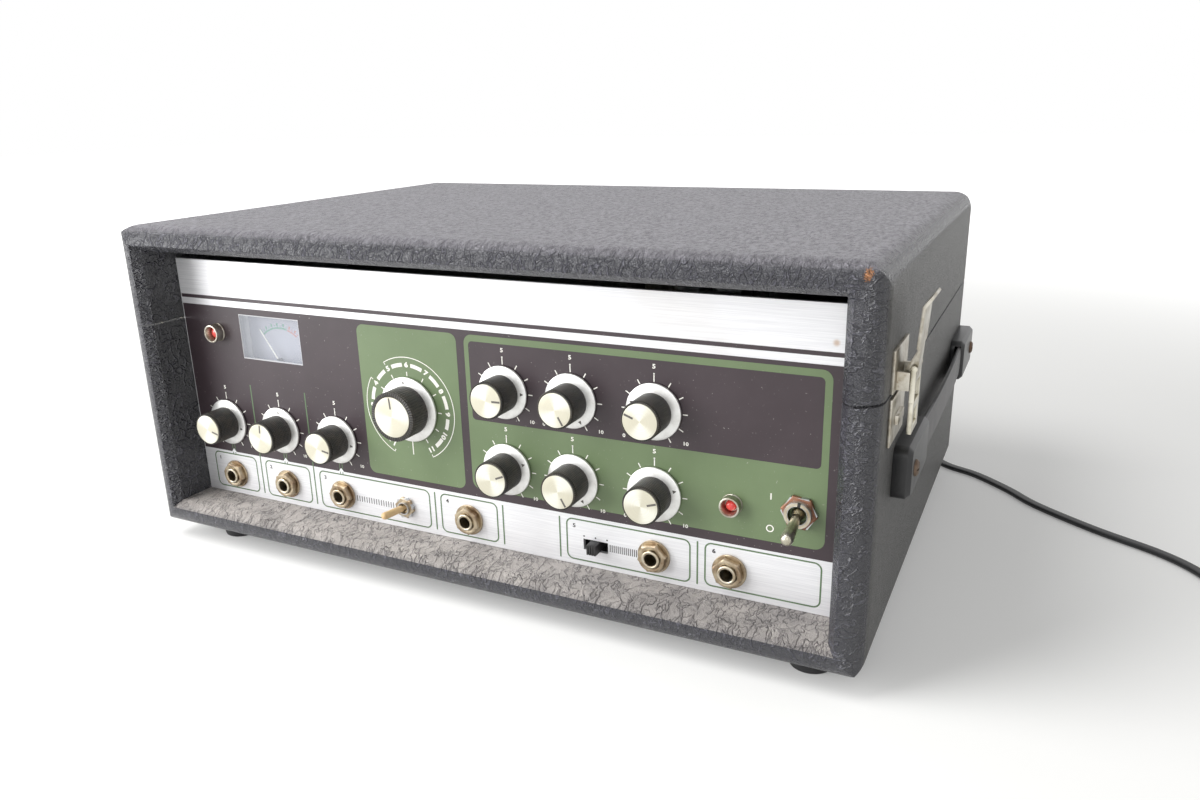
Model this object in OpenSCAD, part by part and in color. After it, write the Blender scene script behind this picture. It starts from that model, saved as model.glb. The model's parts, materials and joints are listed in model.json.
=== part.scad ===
// Tape echo unit: vinyl-covered case with a hinged lid, two side latches, a recessed control
// panel, a tape transport under the lid and a flat twin cord put away as a coil.
// Millimetres. +X right, +Y to the back, +Z up. Origin: middle of the body, on the table.

/* [Case] */
// Width across the side walls
case_w = 415; // [409:1:421]
// Height without the feet
case_h = 178; // [176:1:184]
// Depth without the hinges
case_d = 300; // [299:1:306]
// Thickness of the side and rear walls
wall_t = 15.5; // [14.5:0.5:16]
// Thickness of the floor board
floor_t = 16; // [15:0.5:16]
// Height of the split between lid and lower case, above the case's bottom
split_h = 122.7; // [122.2:0.1:123]
// Rounding of the outer edges
edge_r = 12; // [10:1:12]
// Height of the feet
foot_h = 8; // [6:1:10]

/* [Control panel] */
// Depth of the panel behind the case's front
recess = 26; // [25:1:27]
// Height of a knob's cap above the panel
knob_h = 16.8; // [15:0.2:18]
// Radius of a knob's skirt
skirt_r = 13.6; // [12:0.2:14.5]
// Bore radius of a jack
jack_r = 3.25; // [3.2:0.05:3.3]

/* [Side hardware] */
// Length of one handle cap
cap_len = 52; // [46:1:54]
// Height of one handle cap
cap_tall = 24; // [22:1:26]
// How far a handle cap stands out
cap_out = 8; // [7:0.5:9]

/* [Hidden] */
$fn = 64;

// Colours
vinyl = [0.16, 0.16, 0.19];
silver = [0.78, 0.78, 0.76];
nickel = [0.72, 0.7, 0.62];
black = [0.07, 0.07, 0.08];
steel = [0.6, 0.61, 0.62];
cream = [0.88, 0.85, 0.72];
brown = [0.3, 0.2, 0.14];
green = [0.12, 0.36, 0.2];

// Case frame: fy measures back from the case's front, hz measures up from the case's bottom
hinge_out = 9;
split_gap = 1;
half_w = case_w / 2;
inner_x = half_w - wall_t;
front_y = -(case_d + hinge_out) / 2;
rear_y = front_y + case_d;
lid_under = case_h - 13.7;
function fy(d) = front_y + d;
function hz(h) = foot_h + h;

// Panel and what is behind it
panel_t = 2;
panel_back = recess + panel_t;
panel_top = case_h - 20.8;
chassis_x = inner_x - 1.2;
chassis_end = case_d - wall_t - 2;
deck_h = 118;
deck_t = 2;
deck_top = deck_h + deck_t;

// Knobs: x, height, clockwise angle of the mark from straight up
mic1 = [-167.2, 62, 105];
mic2 = [-126.6, 62, 5];
instrument = [-85.6, 62, 100];
bass = [24.2, 101.9, 88];
treble = [61.5, 101.9, 150];
reverb = [104.1, 101.9, -70];
repeat = [24.2, 61.4, 67];
intensity = [61.5, 61.4, 150];
echo_volume = [104.1, 61.4, 72];
mode = [-34.1, 85.9, -5];
small_knobs = [mic1, mic2, instrument, bass, treble, reverb, repeat, intensity, echo_volume];
shaft_r = 3;
run_gap = 0.05;
mode_skirt = 17.5;
mode_front = 15.3;

// Sockets and switches
jack_x = [-167.2, -126.6, -85.8, -1.3, 103.6, 141.2];
jack_h = 29;
power_at = [172.5, 64.3];
power_down = 12.6;
power_len = 18.5;
input_at = [-42.4, 29];
input_lean = 12.5;
input_len = 14.4;
slide_at = [72.5, 28];
lamp_at = [-166, 116];
led_at = [141.8, 62.6];
meter_at = [-126.5, 115];
meter_w = 43.4;
meter_tall = 25;
needle_at = [-126.5, 100.4];
needle_len = 22;
needle_lean = 34;

// Latches: pivots seen from the front on the right side, as distance from the wall and height
latch_y = front_y + 36;
lever_pin = [4.2, 127];
hook_pin = [7.1, 132];

// Hinges
hinge_y = rear_y + 4.6;
hinge_r = 4.4;
hinge_w = 60;
hinge_xs = [-120, 120];

// Handles
handle_h = 82;
cap_ys = [front_y + 40, front_y + 238];

// Feet: centres
foot_r = 11;
foot_xs = [-168, 181];
foot_ys = [front_y + 25, front_y + 275];

// Tape transport on the deck: x and distance back
capstan = [88, 232];
capstan_r = 4;
motor_at = [150, 232];
flywheel_r = 35;
pulley_r = 7;
belt_gap = 0.35;
belt_t = 1.5;
arm_at = [70, 187];
roller_at = [70, 232];
roller_r = 9;
tail_at = [70, 167];
solenoid_h = 130;
head_ys = [100, 122, 144, 166, 198];
post_front = [86, 88];
post_rear = [80, 247];
post_r = 3;
tape_line = 3.5;
tape_t = 0.3;
tape_w = 6.35;
tape_h = 130;
tray_x = [-178, 40];
tray_d = [75, 275];
tray_tall = 22;

// Cord: flat twin lead
cord_wide = 6;
cord_thick = 3.3;
exit_x = 120;
exit_h = 35;
relief_len = 25;

// ---- Shared shapes ----

// Box given by its low and high corners
module span(low, high) {
  translate(low) cube(high - low);
}

// Copy on both sides of the case
module both_sides() {
  children();
  mirror([1, 0, 0]) children();
}

// Local +Z points out of the panel, local +Y points up
module on_panel(at) {
  translate([at[0], fy(recess), hz(at[1])]) rotate([90, 0, 0]) children();
}

// Profile in X and height, run along Y between two distances
module along_y(y1, y2) {
  translate([0, y2, 0]) rotate([90, 0, 0]) linear_extrude(y2 - y1) children();
}

// ---- Case ----

// Rounded rectangle with exact arcs
module rounded(w, l, r) {
  square([w - 2 * r, l], center = true);
  square([w, l - 2 * r], center = true);
  for (x = [-1, 1]) {
    for (y = [-1, 1]) {
      translate([x * (w / 2 - r), y * (l / 2 - r)]) circle(r = r);
    }
  }
}

// Outer block: its three outlines crossed
module case_block() {
  translate([0, (front_y + rear_y) / 2, foot_h + case_h / 2]) intersection() {
    linear_extrude(case_h, center = true) rounded(case_w, case_d, edge_r);
    rotate([90, 0, 0]) linear_extrude(case_d, center = true) rounded(case_w, case_h, edge_r);
    rotate([90, 0, 90]) linear_extrude(case_w, center = true) rounded(case_d, case_h, edge_r);
  }
}

// Inside space, open at the front, with its front edge flared
module case_space() {
  flare = wall_t - edge_r;
  span([-inner_x, front_y - 1, hz(floor_t)], [inner_x, rear_y - wall_t, hz(lid_under)]);
  hull() {
    span([-inner_x - flare * 1.2, front_y - 1.1, hz(floor_t - flare * 1.2)],
         [inner_x + flare * 1.2, front_y - 1, hz(lid_under + flare * 1.2)]);
    span([-inner_x + flare * 0.4, front_y + 7, hz(floor_t + flare * 0.4)],
         [inner_x - flare * 0.4, front_y + 7.1, hz(lid_under - flare * 0.4)]);
  }
}

module lower_case() {
  color(vinyl)
  difference() {
    case_block();
    case_space();
    // above the split
    span([-half_w - 1, front_y - 1, hz(split_h) - split_gap / 2],
         [half_w + 1, rear_y + 1, hz(case_h) + 1]);
    // cord hole
    translate([exit_x, rear_y - wall_t - 1, hz(exit_h)]) rotate([-90, 0, 0]) cylinder(r = 5, h = wall_t + 2);
    // handle screw holes
    both_sides() handle_screw_holes();
  }
}

module handle_screw_holes() {
  for (y = [cap_ys[0] + 12, cap_ys[1] + cap_len - 12]) {
    translate([half_w - 11, y, hz(handle_h)]) rotate([0, 90, 0]) cylinder(r = 1.65, h = 12, $fn = 24);
  }
}

module lid() {
  color(vinyl)
  difference() {
    case_block();
    case_space();
    // below the split
    span([-half_w - 1, front_y - 1, foot_h - 1],
         [half_w + 1, rear_y + 1, hz(split_h) + split_gap / 2]);
  }
}

module feet() {
  color(black)
  for (x = foot_xs) {
    for (y = foot_ys) {
      translate([x, y, 0]) cylinder(r1 = foot_r - 1, r2 = foot_r, h = foot_h);
    }
  }
}

// ---- Handles ----

module handle_cap(y) {
  corner = 5;
  difference() {
    hull() {
      for (dy = [corner, cap_len - corner]) {
        for (dz = [corner - cap_tall / 2, cap_tall / 2 - corner]) {
          translate([half_w, y + dy, hz(handle_h) + dz]) rotate([0, 90, 0]) {
            cylinder(r = corner, h = cap_out - 2, $fn = 32);
            cylinder(r = corner - 2, h = cap_out, $fn = 32);
          }
        }
      }
    }
    // strap slot
    span([half_w + 2.4, y - 1, hz(handle_h) - 9.3], [half_w + 6, y + 22, hz(handle_h) + 9.3]);
  }
}

module handle_caps() {
  color(black)
  both_sides() {
    difference() {
      handle_cap_pair();
      for (y = [cap_ys[0] + 12, cap_ys[1] + cap_len - 12]) {
        translate([half_w - 1, y, hz(handle_h)]) rotate([0, 90, 0]) cylinder(r = 1.65, h = 12, $fn = 24);
      }
    }
  }
}

// The front cap is turned round so that both slots face the strap
module handle_cap_pair() {
  handle_cap(cap_ys[1]);
  translate([0, 2 * cap_ys[0] + cap_len, 0]) mirror([0, 1, 0]) handle_cap(cap_ys[0]);
}

module handle_straps() {
  color([0.4, 0.39, 0.43])
  both_sides() {
    span([half_w + 2.7, cap_ys[0] + cap_len - 20, hz(handle_h) - 9],
         [half_w + 5.7, cap_ys[1] + 20, hz(handle_h) + 9]);
  }
}

module case_screws() {
  color(steel)
  both_sides() {
    for (y = [cap_ys[0] + 12, cap_ys[1] + cap_len - 12]) {
      translate([half_w - 10, y, hz(handle_h)]) rotate([0, 90, 0]) {
        cylinder(r = 1.6, h = cap_out + 10.5, $fn = 24);
        translate([0, 0, cap_out + 10]) {
          difference() {
            rotate_extrude($fn = 32) polygon([[0, 0], [3.8, 0], [3.6, 0.9], [2.6, 1.5], [0, 1.7]]);
            span([-0.4, -3, 1], [0.4, 3, 2]);
            span([-3, -0.4, 1], [3, 0.4, 2]);
          }
        }
      }
    }
  }
}

// ---- Latches ----

module latch_keepers() {
  color(nickel)
  both_sides() {
    span([half_w, latch_y - 16, hz(100.8)], [half_w + 1.2, latch_y + 16, hz(121)]);
    span([half_w, latch_y - 7, hz(108)], [half_w + 2.7, latch_y + 7, hz(112)]);
  }
}

module latch_plates() {
  color(nickel)
  both_sides() {
    span([half_w, latch_y - 16, hz(split_h + 0.6)], [half_w + 1.2, latch_y + 16, hz(141)]);
    for (side = [-1, 1]) {
      ear = side > 0 ? 8.2 : -9.4;
      span([half_w, latch_y + ear, hz(split_h + 0.8)], [half_w + 6, latch_y + ear + 1.2, hz(131)]);
      pin = side > 0 ? 4.4 : -9.4;
      translate([half_w + lever_pin[0], latch_y + pin, hz(lever_pin[1])]) rotate([-90, 0, 0]) cylinder(r = 1, h = 5, $fn = 24);
    }
  }
}

module latch_lever() {
  difference() {
    union() {
      // plate, narrow between the hook's arms
      along_y(latch_y - 5.8, latch_y + 5.8) {
        polygon([[half_w + 6.9, hz(126.5)], [half_w + 8.1, hz(126.5)], [half_w + 9.1, hz(143)], [half_w + 7.9, hz(143)]]);
      }
      // wide finger end with its curl
      along_y(latch_y - 10, latch_y + 10) {
        polygon([[half_w + 7.8, hz(141)], [half_w + 9, hz(141)], [half_w + 10, hz(157)],
          [half_w + 13, hz(161.4)], [half_w + 12.2, hz(162.3)], [half_w + 8.9, hz(158)]]);
      }
      // cheeks
      for (y = [-5.8, 4.6]) {
        along_y(latch_y + y, latch_y + y + 1.2) {
          polygon([[half_w + 2.4, hz(125.2)], [half_w + 6.6, hz(125.6)], [half_w + 7.4, hz(127)],
            [half_w + 8.6, hz(140)], [half_w + 7, hz(138)], [half_w + 2.6, hz(129.2)]]);
        }
      }
    }
    for (pin = [lever_pin, hook_pin]) {
      translate([half_w + pin[0], latch_y - 12, hz(pin[1])]) rotate([-90, 0, 0]) cylinder(r = 1 + run_gap, h = 24, $fn = 32);
    }
  }
}

module right_latch_lever() {
  color(nickel) latch_lever();
}

module left_latch_lever() {
  color(nickel) mirror([1, 0, 0]) latch_lever();
}

module latch_hook() {
  for (y = [-7.6, 6.4]) {
    span([half_w + 6.1, latch_y + y, hz(116)], [half_w + 8.1, latch_y + y + 1.2, hz(hook_pin[1])]);
    translate([half_w + hook_pin[0], latch_y + y, hz(hook_pin[1])]) rotate([-90, 0, 0]) cylinder(r = 1.4, h = 1.2, $fn = 32);
  }
  for (y = [-7, 4.4]) {
    translate([half_w + hook_pin[0], latch_y + y, hz(hook_pin[1])]) rotate([-90, 0, 0]) cylinder(r = 1, h = 2.6, $fn = 32);
  }
  difference() {
    span([half_w + 6.2, latch_y - 8, hz(105)], [half_w + 8, latch_y + 8, hz(118)]);
    span([half_w + 5, latch_y - 5, hz(108)], [half_w + 9, latch_y + 5, hz(115)]);
  }
}

module right_latch_hook() {
  color(silver) latch_hook();
}

module left_latch_hook() {
  color(silver) mirror([1, 0, 0]) latch_hook();
}

// ---- Hinges ----

knuckle = 12;

module lower_hinges() {
  color(steel)
  for (x = hinge_xs) {
    span([x - hinge_w / 2, rear_y, hz(split_h) - 27], [x + hinge_w / 2, rear_y + 1.5, hz(split_h) - 5]);
    for (k = [-1, 1]) {
      span([x + k * knuckle - knuckle / 2 + 0.2, rear_y, hz(split_h) - 6],
           [x + k * knuckle + knuckle / 2 - 0.2, rear_y + 1.5, hz(split_h) - 0.6]);
      translate([x + k * knuckle - knuckle / 2 + 0.2, hinge_y, hz(split_h)]) rotate([0, 90, 0]) cylinder(r = hinge_r, h = knuckle - 0.4);
    }
    translate([x - hinge_w / 2, hinge_y, hz(split_h)]) rotate([0, 90, 0]) cylinder(r = 2, h = hinge_w);
  }
}

module lid_hinges() {
  color(steel)
  for (x = hinge_xs) {
    difference() {
      union() {
        span([x - hinge_w / 2, rear_y, hz(split_h) + 5], [x + hinge_w / 2, rear_y + 1.5, hz(split_h) + 27]);
        for (k = [-2, 0, 2]) {
          span([x + k * knuckle - knuckle / 2 + 0.2, rear_y, hz(split_h) + 0.6],
               [x + k * knuckle + knuckle / 2 - 0.2, rear_y + 1.5, hz(split_h) + 6]);
          translate([x + k * knuckle - knuckle / 2 + 0.2, hinge_y, hz(split_h)]) rotate([0, 90, 0]) cylinder(r = hinge_r, h = knuckle - 0.4);
        }
      }
      translate([x - hinge_w / 2 - 1, hinge_y, hz(split_h)]) rotate([0, 90, 0]) cylinder(r = 2 + run_gap, h = hinge_w + 2);
    }
  }
}

// ---- Control panel ----

module front_panel() {
  color(silver)
  difference() {
    span([-inner_x + 0.3, fy(recess), hz(floor_t + 0.2)], [inner_x - 0.3, fy(panel_back), hz(panel_top)]);
    for (k = small_knobs) {
      on_panel(k) translate([0, 0, -5]) cylinder(r = 4.1, h = 6);
    }
    on_panel(mode) translate([0, 0, -5]) cylinder(r = 5.1, h = 6);
    for (x = jack_x) {
      on_panel([x, jack_h]) translate([0, 0, -5]) cylinder(r = 4.6, h = 6);
    }
    on_panel(power_at) translate([0, 0, -5]) cylinder(r = 6.1, h = 6);
    on_panel(input_at) translate([0, 0, -5]) cylinder(r = 3.7, h = 6);
    on_panel(lamp_at) translate([0, 0, -5]) cylinder(r = 3.3, h = 6);
    on_panel(led_at) translate([0, 0, -5]) cylinder(r = 2.7, h = 6);
    on_panel(slide_at) span([-6.7, -2.9, -5], [6.7, 2.9, 1]);
    on_panel(meter_at) span([-meter_w / 2, -meter_tall / 2, -5], [meter_w / 2, meter_tall / 2, 1]);
  }
}

// Knob with its shaft, turned about local Z; the mark is cut into the cap and the skirt
module knob_form(top, skirt, body, cap, angle) {
  difference() {
    rotate_extrude() polygon([[0, -14], [shaft_r, -14], [shaft_r, 0.5], [skirt - 0.3, 0.5], [skirt, 0.9],
      [skirt, 1.5], [skirt - 0.6, 2.1], [body, 2.5], [body, top - 0.9], [body - 0.4, top - 0.3],
      [cap + 0.1, top - 0.3], [cap - 0.1, top], [0, top]]);
    rotate([0, 0, -angle]) {
      span([-0.5, cap * 0.45, top - 0.25], [0.5, cap * 0.92, top + 1]);
      translate([0, body + 1, 1.7]) rotate([0, 0, 30]) cylinder(r = 0.9, h = 2, $fn = 3);
    }
  }
}

module small_knob(k) {
  color(silver) on_panel(k) knob_form(knob_h, skirt_r, 9.3, 8.4, k[2]);
}

module mic1_knob() {
  small_knob(mic1);
}

module mic2_knob() {
  small_knob(mic2);
}

module instrument_knob() {
  small_knob(instrument);
}

module bass_knob() {
  small_knob(bass);
}

module treble_knob() {
  small_knob(treble);
}

module reverb_knob() {
  small_knob(reverb);
}

module repeat_knob() {
  small_knob(repeat);
}

module intensity_knob() {
  small_knob(intensity);
}

module echo_knob() {
  small_knob(echo_volume);
}

module mode_knob() {
  color(silver) on_panel(mode) knob_form(mode_front, mode_skirt, 13.1, 10.75, mode[2]);
}

// Potentiometer body with the bush that carries a knob's shaft
module pot_form(body_r, deep, bush_r) {
  difference() {
    union() {
      translate([0, 0, -panel_t - deep]) cylinder(r = body_r, h = deep);
      translate([0, 0, -panel_t - 1]) cylinder(r = bush_r, h = panel_t + 1.2);
    }
    translate([0, 0, -14.5]) cylinder(r = shaft_r + run_gap, h = 18);
  }
}

module pots() {
  color(steel)
  for (k = small_knobs) {
    on_panel(k) pot_form(10, 14, 4.05);
  }
}

module mode_switch() {
  color(brown) on_panel(mode) pot_form(17, 20, 5.05);
}

module jacks() {
  color(black)
  for (x = jack_x) {
    on_panel([x, jack_h]) {
      difference() {
        union() {
          span([-8, -8, -panel_t - 26], [8, 8, -panel_t]);
          translate([0, 0, -panel_t - 1]) cylinder(r = 4.5, h = panel_t + 6);
        }
        translate([0, 0, -26]) cylinder(r = jack_r, h = 32);
      }
    }
  }
}

module jack_nuts() {
  color(nickel)
  for (x = jack_x) {
    on_panel([x, jack_h]) {
      difference() {
        union() {
          cylinder(r = 8.3, h = 1);
          rotate([0, 0, 12]) cylinder(r = 7.5, h = 4, $fn = 6);
        }
        translate([0, 0, -1]) cylinder(r = 4.55, h = 8);
      }
    }
  }
}

module power_switch() {
  color(nickel)
  on_panel(power_at) {
    difference() {
      union() {
        span([-8, -14, -panel_t - 20], [8, 14, -panel_t]);
        translate([0, 0, -panel_t - 1]) cylinder(r = 6, h = panel_t + 6);
        cylinder(r = 8.2, h = 2, $fn = 6);
      }
      translate([0, 0, -3]) cylinder(r = 4.3, h = 10);
    }
  }
}

module power_lever() {
  color(silver)
  on_panel(power_at) {
    translate([0, 0, 2]) rotate([power_down, 0, 0]) {
      sphere(r = 3.2, $fn = 32);
      cylinder(r1 = 1.9, r2 = 2.8, h = power_len);
      translate([0, 0, power_len]) sphere(r = 2.8, $fn = 32);
    }
    translate([-3.6, 0, 2]) rotate([0, 90, 0]) cylinder(r = 1.2, h = 7.2, $fn = 32);
  }
}

module input_switch() {
  color(steel)
  on_panel(input_at) {
    difference() {
      union() {
        span([-7, -6, -panel_t - 14], [7, 6, -panel_t]);
        translate([0, 0, -panel_t - 1]) cylinder(r = 3.6, h = panel_t + 4);
        rotate([0, 0, 12]) cylinder(r = 6.1, h = 2, $fn = 6);
      }
      translate([0, 0, -4.5]) cylinder(r = 3, h = 8);
    }
  }
}

module input_lever() {
  color(cream)
  on_panel(input_at) {
    rotate([0, -input_lean, 0]) {
      cylinder(r1 = 1.2, r2 = 2, h = input_len, $fn = 32);
      translate([0, 0, input_len]) sphere(r = 2, $fn = 32);
    }
    rotate([90, 0, 0]) translate([0, 0, -1.8]) cylinder(r = 1.6, h = 3.6, $fn = 32);
  }
}

module output_switch() {
  color(steel)
  on_panel(slide_at) {
    difference() {
      span([-12, -7, -panel_t - 12], [12, 7, -panel_t]);
      span([-7, -3, -panel_t - 5], [7, 3, 0]);
    }
  }
}

module output_slider() {
  color(black)
  on_panel(slide_at) {
    difference() {
      span([-2.5, -2.6, -panel_t - 4.5], [2.5, 2.6, 5.6]);
      for (x = [-1.5, 0, 1.5]) {
        span([x - 0.3, -3, 5], [x + 0.3, 3, 6]);
      }
    }
  }
}

module panel_lamps() {
  color([0.55, 0.12, 0.1]) {
    on_panel(lamp_at) lamp_form(3.2, 5.2, 5.8);
    on_panel(led_at) lamp_form(2.6, 4.9, 5);
  }
}

// Lens at the bottom of a round bezel
module lamp_form(r, bezel, out) {
  translate([0, 0, -panel_t - 4]) cylinder(r = r, h = panel_t + 5.2);
  translate([0, 0, 1]) scale([1, 1, 0.7]) sphere(r = r, $fn = 32);
  rotate_extrude() polygon([[0, 0], [bezel, 0], [bezel, out - 0.5], [bezel - 0.4, out], [bezel - 0.9, out],
    [r + 0.3, 0.8], [0, 0.8]]);
}

module meter_case() {
  color(cream)
  difference() {
    span([meter_at[0] - 25, fy(panel_back), hz(95)], [meter_at[0] + 25, fy(panel_back + 25), hz(131)]);
    span([meter_at[0] - 23, fy(panel_back - 1), hz(97)], [meter_at[0] + 23, fy(panel_back + 6), hz(129)]);
  }
  color(steel)
  translate([needle_at[0], fy(panel_back + 1.5), hz(needle_at[1])]) rotate([-90, 0, 0]) cylinder(r = 0.8, h = 5, $fn = 24);
}

module meter_needle() {
  color(black)
  on_panel(needle_at) {
    translate([0, 0, -panel_t - 4]) {
      difference() {
        union() {
          cylinder(r = 2.6, h = 1.6, $fn = 32);
          rotate([0, 0, needle_lean]) span([-0.4, 0, 0.6], [0.4, needle_len, 1.1]);
        }
        translate([0, 0, -1]) cylinder(r = 0.8 + run_gap, h = 4, $fn = 32);
      }
    }
  }
}

module meter_window() {
  color([0.8, 0.85, 0.85, 0.4])
  on_panel(meter_at) span([-meter_w / 2 + 0.1, -meter_tall / 2 + 0.1, -1.7], [meter_w / 2 - 0.1, meter_tall / 2 - 0.1, -0.2]);
}

// ---- Inside ----

module chassis() {
  color(steel) {
    span([-chassis_x, fy(panel_back), hz(floor_t + 0.3)], [chassis_x, fy(chassis_end), hz(18)]);
    for (x = [-chassis_x, chassis_x - 1.5]) {
      span([x, fy(panel_back), hz(17)], [x + 1.5, fy(chassis_end), hz(deck_h)]);
    }
    span([-chassis_x, fy(chassis_end - 1.5), hz(17)], [chassis_x, fy(chassis_end), hz(deck_h)]);
    for (x = [-92, 32]) {
      for (d = [68, 182]) {
        translate([x, fy(d), hz(17)]) cylinder(r = 3, h = 15, $fn = 32);
      }
    }
    difference() {
      translate([capstan[0], fy(capstan[1]), hz(17)]) cylinder(r = 8, h = 67);
      translate([capstan[0], fy(capstan[1]), hz(74)]) cylinder(r = capstan_r + run_gap, h = 11);
    }
  }
}

module deck_plate() {
  color(steel)
  difference() {
    union() {
      span([-chassis_x, fy(60), hz(deck_h)], [chassis_x, fy(chassis_end), hz(deck_top)]);
      translate([capstan[0], fy(capstan[1]), hz(deck_h - 10)]) cylinder(r = 9, h = 11);
      for (post = [post_front, post_rear]) {
        translate([post[0], fy(post[1]), hz(deck_top - 1)]) cylinder(r = post_r, h = 21);
      }
      translate([arm_at[0], fy(arm_at[1]), hz(deck_top - 1)]) cylinder(r = 3, h = 8);
    }
    translate([capstan[0], fy(capstan[1]), hz(deck_h - 11)]) cylinder(r = capstan_r + run_gap, h = 15);
  }
}

module tape_tray() {
  color(steel)
  difference() {
    span([tray_x[0], fy(tray_d[0]), hz(deck_top)], [tray_x[1], fy(tray_d[1]), hz(deck_top + tray_tall)]);
    span([tray_x[0] + 3, fy(tray_d[0] + 3), hz(deck_top + 2)],
         [tray_x[1] - 3, fy(tray_d[1] - 3), hz(deck_top + tray_tall + 1)]);
    for (d = [post_front[1] - tape_line, post_rear[1] + tape_line]) {
      span([tray_x[1] - 4, fy(d - 3), hz(deck_top + 4)], [tray_x[1] + 1, fy(d + 3), hz(deck_top + tray_tall + 1)]);
    }
  }
}

module tray_cover() {
  color([0.75, 0.8, 0.82, 0.4])
  span([tray_x[0], fy(tray_d[0]), hz(deck_top + tray_tall)], [tray_x[1], fy(tray_d[1]), hz(deck_top + tray_tall + 2)]);
}

// Tape path: folds in the tray, then round the front post, past the heads and the capstan,
// and round the rear post back into the tray
folds = 8;
fold_first = post_rear[1] + tape_line;
fold_step = (fold_first - (post_front[1] - tape_line)) / (folds - 1);
fold_left = -155;
fold_right = 18;
fold_r = fold_step / 2;
function arc_points(c, r, a1, a2, n) = [for (i = [0:n]) [c[0] + r * cos(a1 + (a2 - a1) * i / n), c[1] + r * sin(a1 + (a2 - a1) * i / n)]];
function fold_y(i) = fold_first - fold_step * i;
function fold_turn(i) = i % 2 == 0
  ? arc_points([fold_left, fold_y(i) - fold_r], fold_r, 90, 270, 10)
  : arc_points([fold_right, fold_y(i) - fold_r], fold_r, 90, -90, 10);
tape_path = concat(
  [for (i = [0:folds - 2]) each fold_turn(i)],
  arc_points(post_front, tape_line, -90, 0, 4),
  [[post_front[0] + tape_line, 205]],
  [[capstan[0] - capstan_r - 0.5, 226], [capstan[0] - capstan_r - 0.5, 238]],
  arc_points(post_rear, tape_line, 0, 90, 4));
function unit(v) = v / norm(v);
function tape_side(i, d) =
  let (n = len(tape_path))
  let (before = tape_path[(i + n - 1) % n])
  let (after = tape_path[(i + 1) % n])
  let (run = unit(after - before))
  [tape_path[i][0] - run[1] * d, fy(tape_path[i][1]) + run[0] * d];

module tape_loop() {
  n = len(tape_path);
  color(brown)
  translate([0, 0, hz(tape_h)]) linear_extrude(tape_w) difference() {
    polygon([for (i = [0:n - 1]) tape_side(i, -tape_t / 2)]);
    polygon([for (i = [0:n - 1]) tape_side(i, tape_t / 2)]);
  }
}

module tape_heads() {
  color(silver)
  for (d = head_ys) {
    translate([post_front[0] + tape_line + 6.5, fy(d), hz(deck_top)]) {
      cylinder(r = 6, h = 18);
      span([0, -6, 0], [12, 6, 18]);
    }
  }
}

module capstan_flywheel() {
  color(steel)
  translate([capstan[0], fy(capstan[1]), hz(0)]) {
    difference() {
      translate([0, 0, 92]) cylinder(r = flywheel_r, h = 12);
      for (a = [0:60:300]) {
        rotate([0, 0, a]) translate([22, 0, 90]) cylinder(r = 4, h = 16, $fn = 32);
      }
    }
    translate([0, 0, 74.3]) cylinder(r = capstan_r, h = 65.7);
  }
}

module motor() {
  color(steel)
  translate([motor_at[0], fy(motor_at[1]), hz(18)]) {
    difference() {
      union() {
        cylinder(r = 26, h = 66);
        cylinder(r = 8, h = 70);
      }
      translate([0, 0, 43]) cylinder(r = 2.5 + run_gap, h = 30);
    }
  }
}

module motor_pulley() {
  color(nickel)
  translate([motor_at[0], fy(motor_at[1]), hz(0)]) {
    translate([0, 0, 62]) cylinder(r = 2.5, h = 40);
    translate([0, 0, 94]) cylinder(r = pulley_r, h = 9);
  }
}

// Belt outline: wraps of the two wheels joined by straight runs
function belt_outline(extra) =
  let (a = acos((flywheel_r - pulley_r) / (motor_at[0] - capstan[0])))
  concat(arc_points(capstan, flywheel_r + extra, a, 360 - a, 40),
    arc_points(motor_at, pulley_r + extra, -a, a, 20));

module drive_belt() {
  color(black)
  translate([0, front_y, hz(95)]) linear_extrude(6) difference() {
    polygon(belt_outline(belt_gap + belt_t));
    polygon(belt_outline(belt_gap));
  }
}

module pinch_arm() {
  color(nickel)
  difference() {
    union() {
      translate([arm_at[0], fy(arm_at[1]), hz(deck_top + 0.3)]) cylinder(r = 7, h = 5.7);
      span([arm_at[0] - 5, fy(tail_at[1]), hz(122)], [arm_at[0] + 5, fy(roller_at[1]), hz(125)]);
      translate([roller_at[0], fy(roller_at[1]), hz(122)]) cylinder(r = 6, h = 3);
      translate([roller_at[0], fy(roller_at[1]), hz(124)]) cylinder(r = 2.5, h = 15);
      translate([tail_at[0], fy(tail_at[1]), hz(122)]) cylinder(r = 5, h = 3);
      translate([tail_at[0], fy(tail_at[1]), hz(124)]) cylinder(r = 1.5, h = 11);
    }
    translate([arm_at[0], fy(arm_at[1]), hz(deck_top)]) cylinder(r = 3 + run_gap, h = 8);
  }
}

module pinch_roller() {
  color(black)
  translate([roller_at[0], fy(roller_at[1]), hz(125.3)]) {
    difference() {
      cylinder(r = roller_r, h = 12.7);
      translate([0, 0, -1]) cylinder(r = 2.5 + run_gap, h = 16);
      // mark
      translate([6, 0, 12.2]) cylinder(r = 1, h = 2, $fn = 24);
    }
  }
}

module solenoid() {
  color(nickel)
  difference() {
    span([43, fy(tail_at[1] - 10), hz(deck_top)], [61, fy(tail_at[1] + 10), hz(solenoid_h + 10)]);
    translate([45, fy(tail_at[1]), hz(solenoid_h)]) rotate([0, 90, 0]) cylinder(r = 4 + run_gap, h = 20);
  }
}

module solenoid_plunger() {
  color(steel)
  translate([0, fy(tail_at[1]), hz(solenoid_h)]) {
    translate([48, 0, 0]) rotate([0, 90, 0]) cylinder(r = 4, h = 18);
    difference() {
      span([65, -5, -3], [75, 5, 3]);
      span([tail_at[0] - 1.85, -2.2, -4], [tail_at[0] + 1.85, 2.2, 4]);
    }
  }
}

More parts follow.
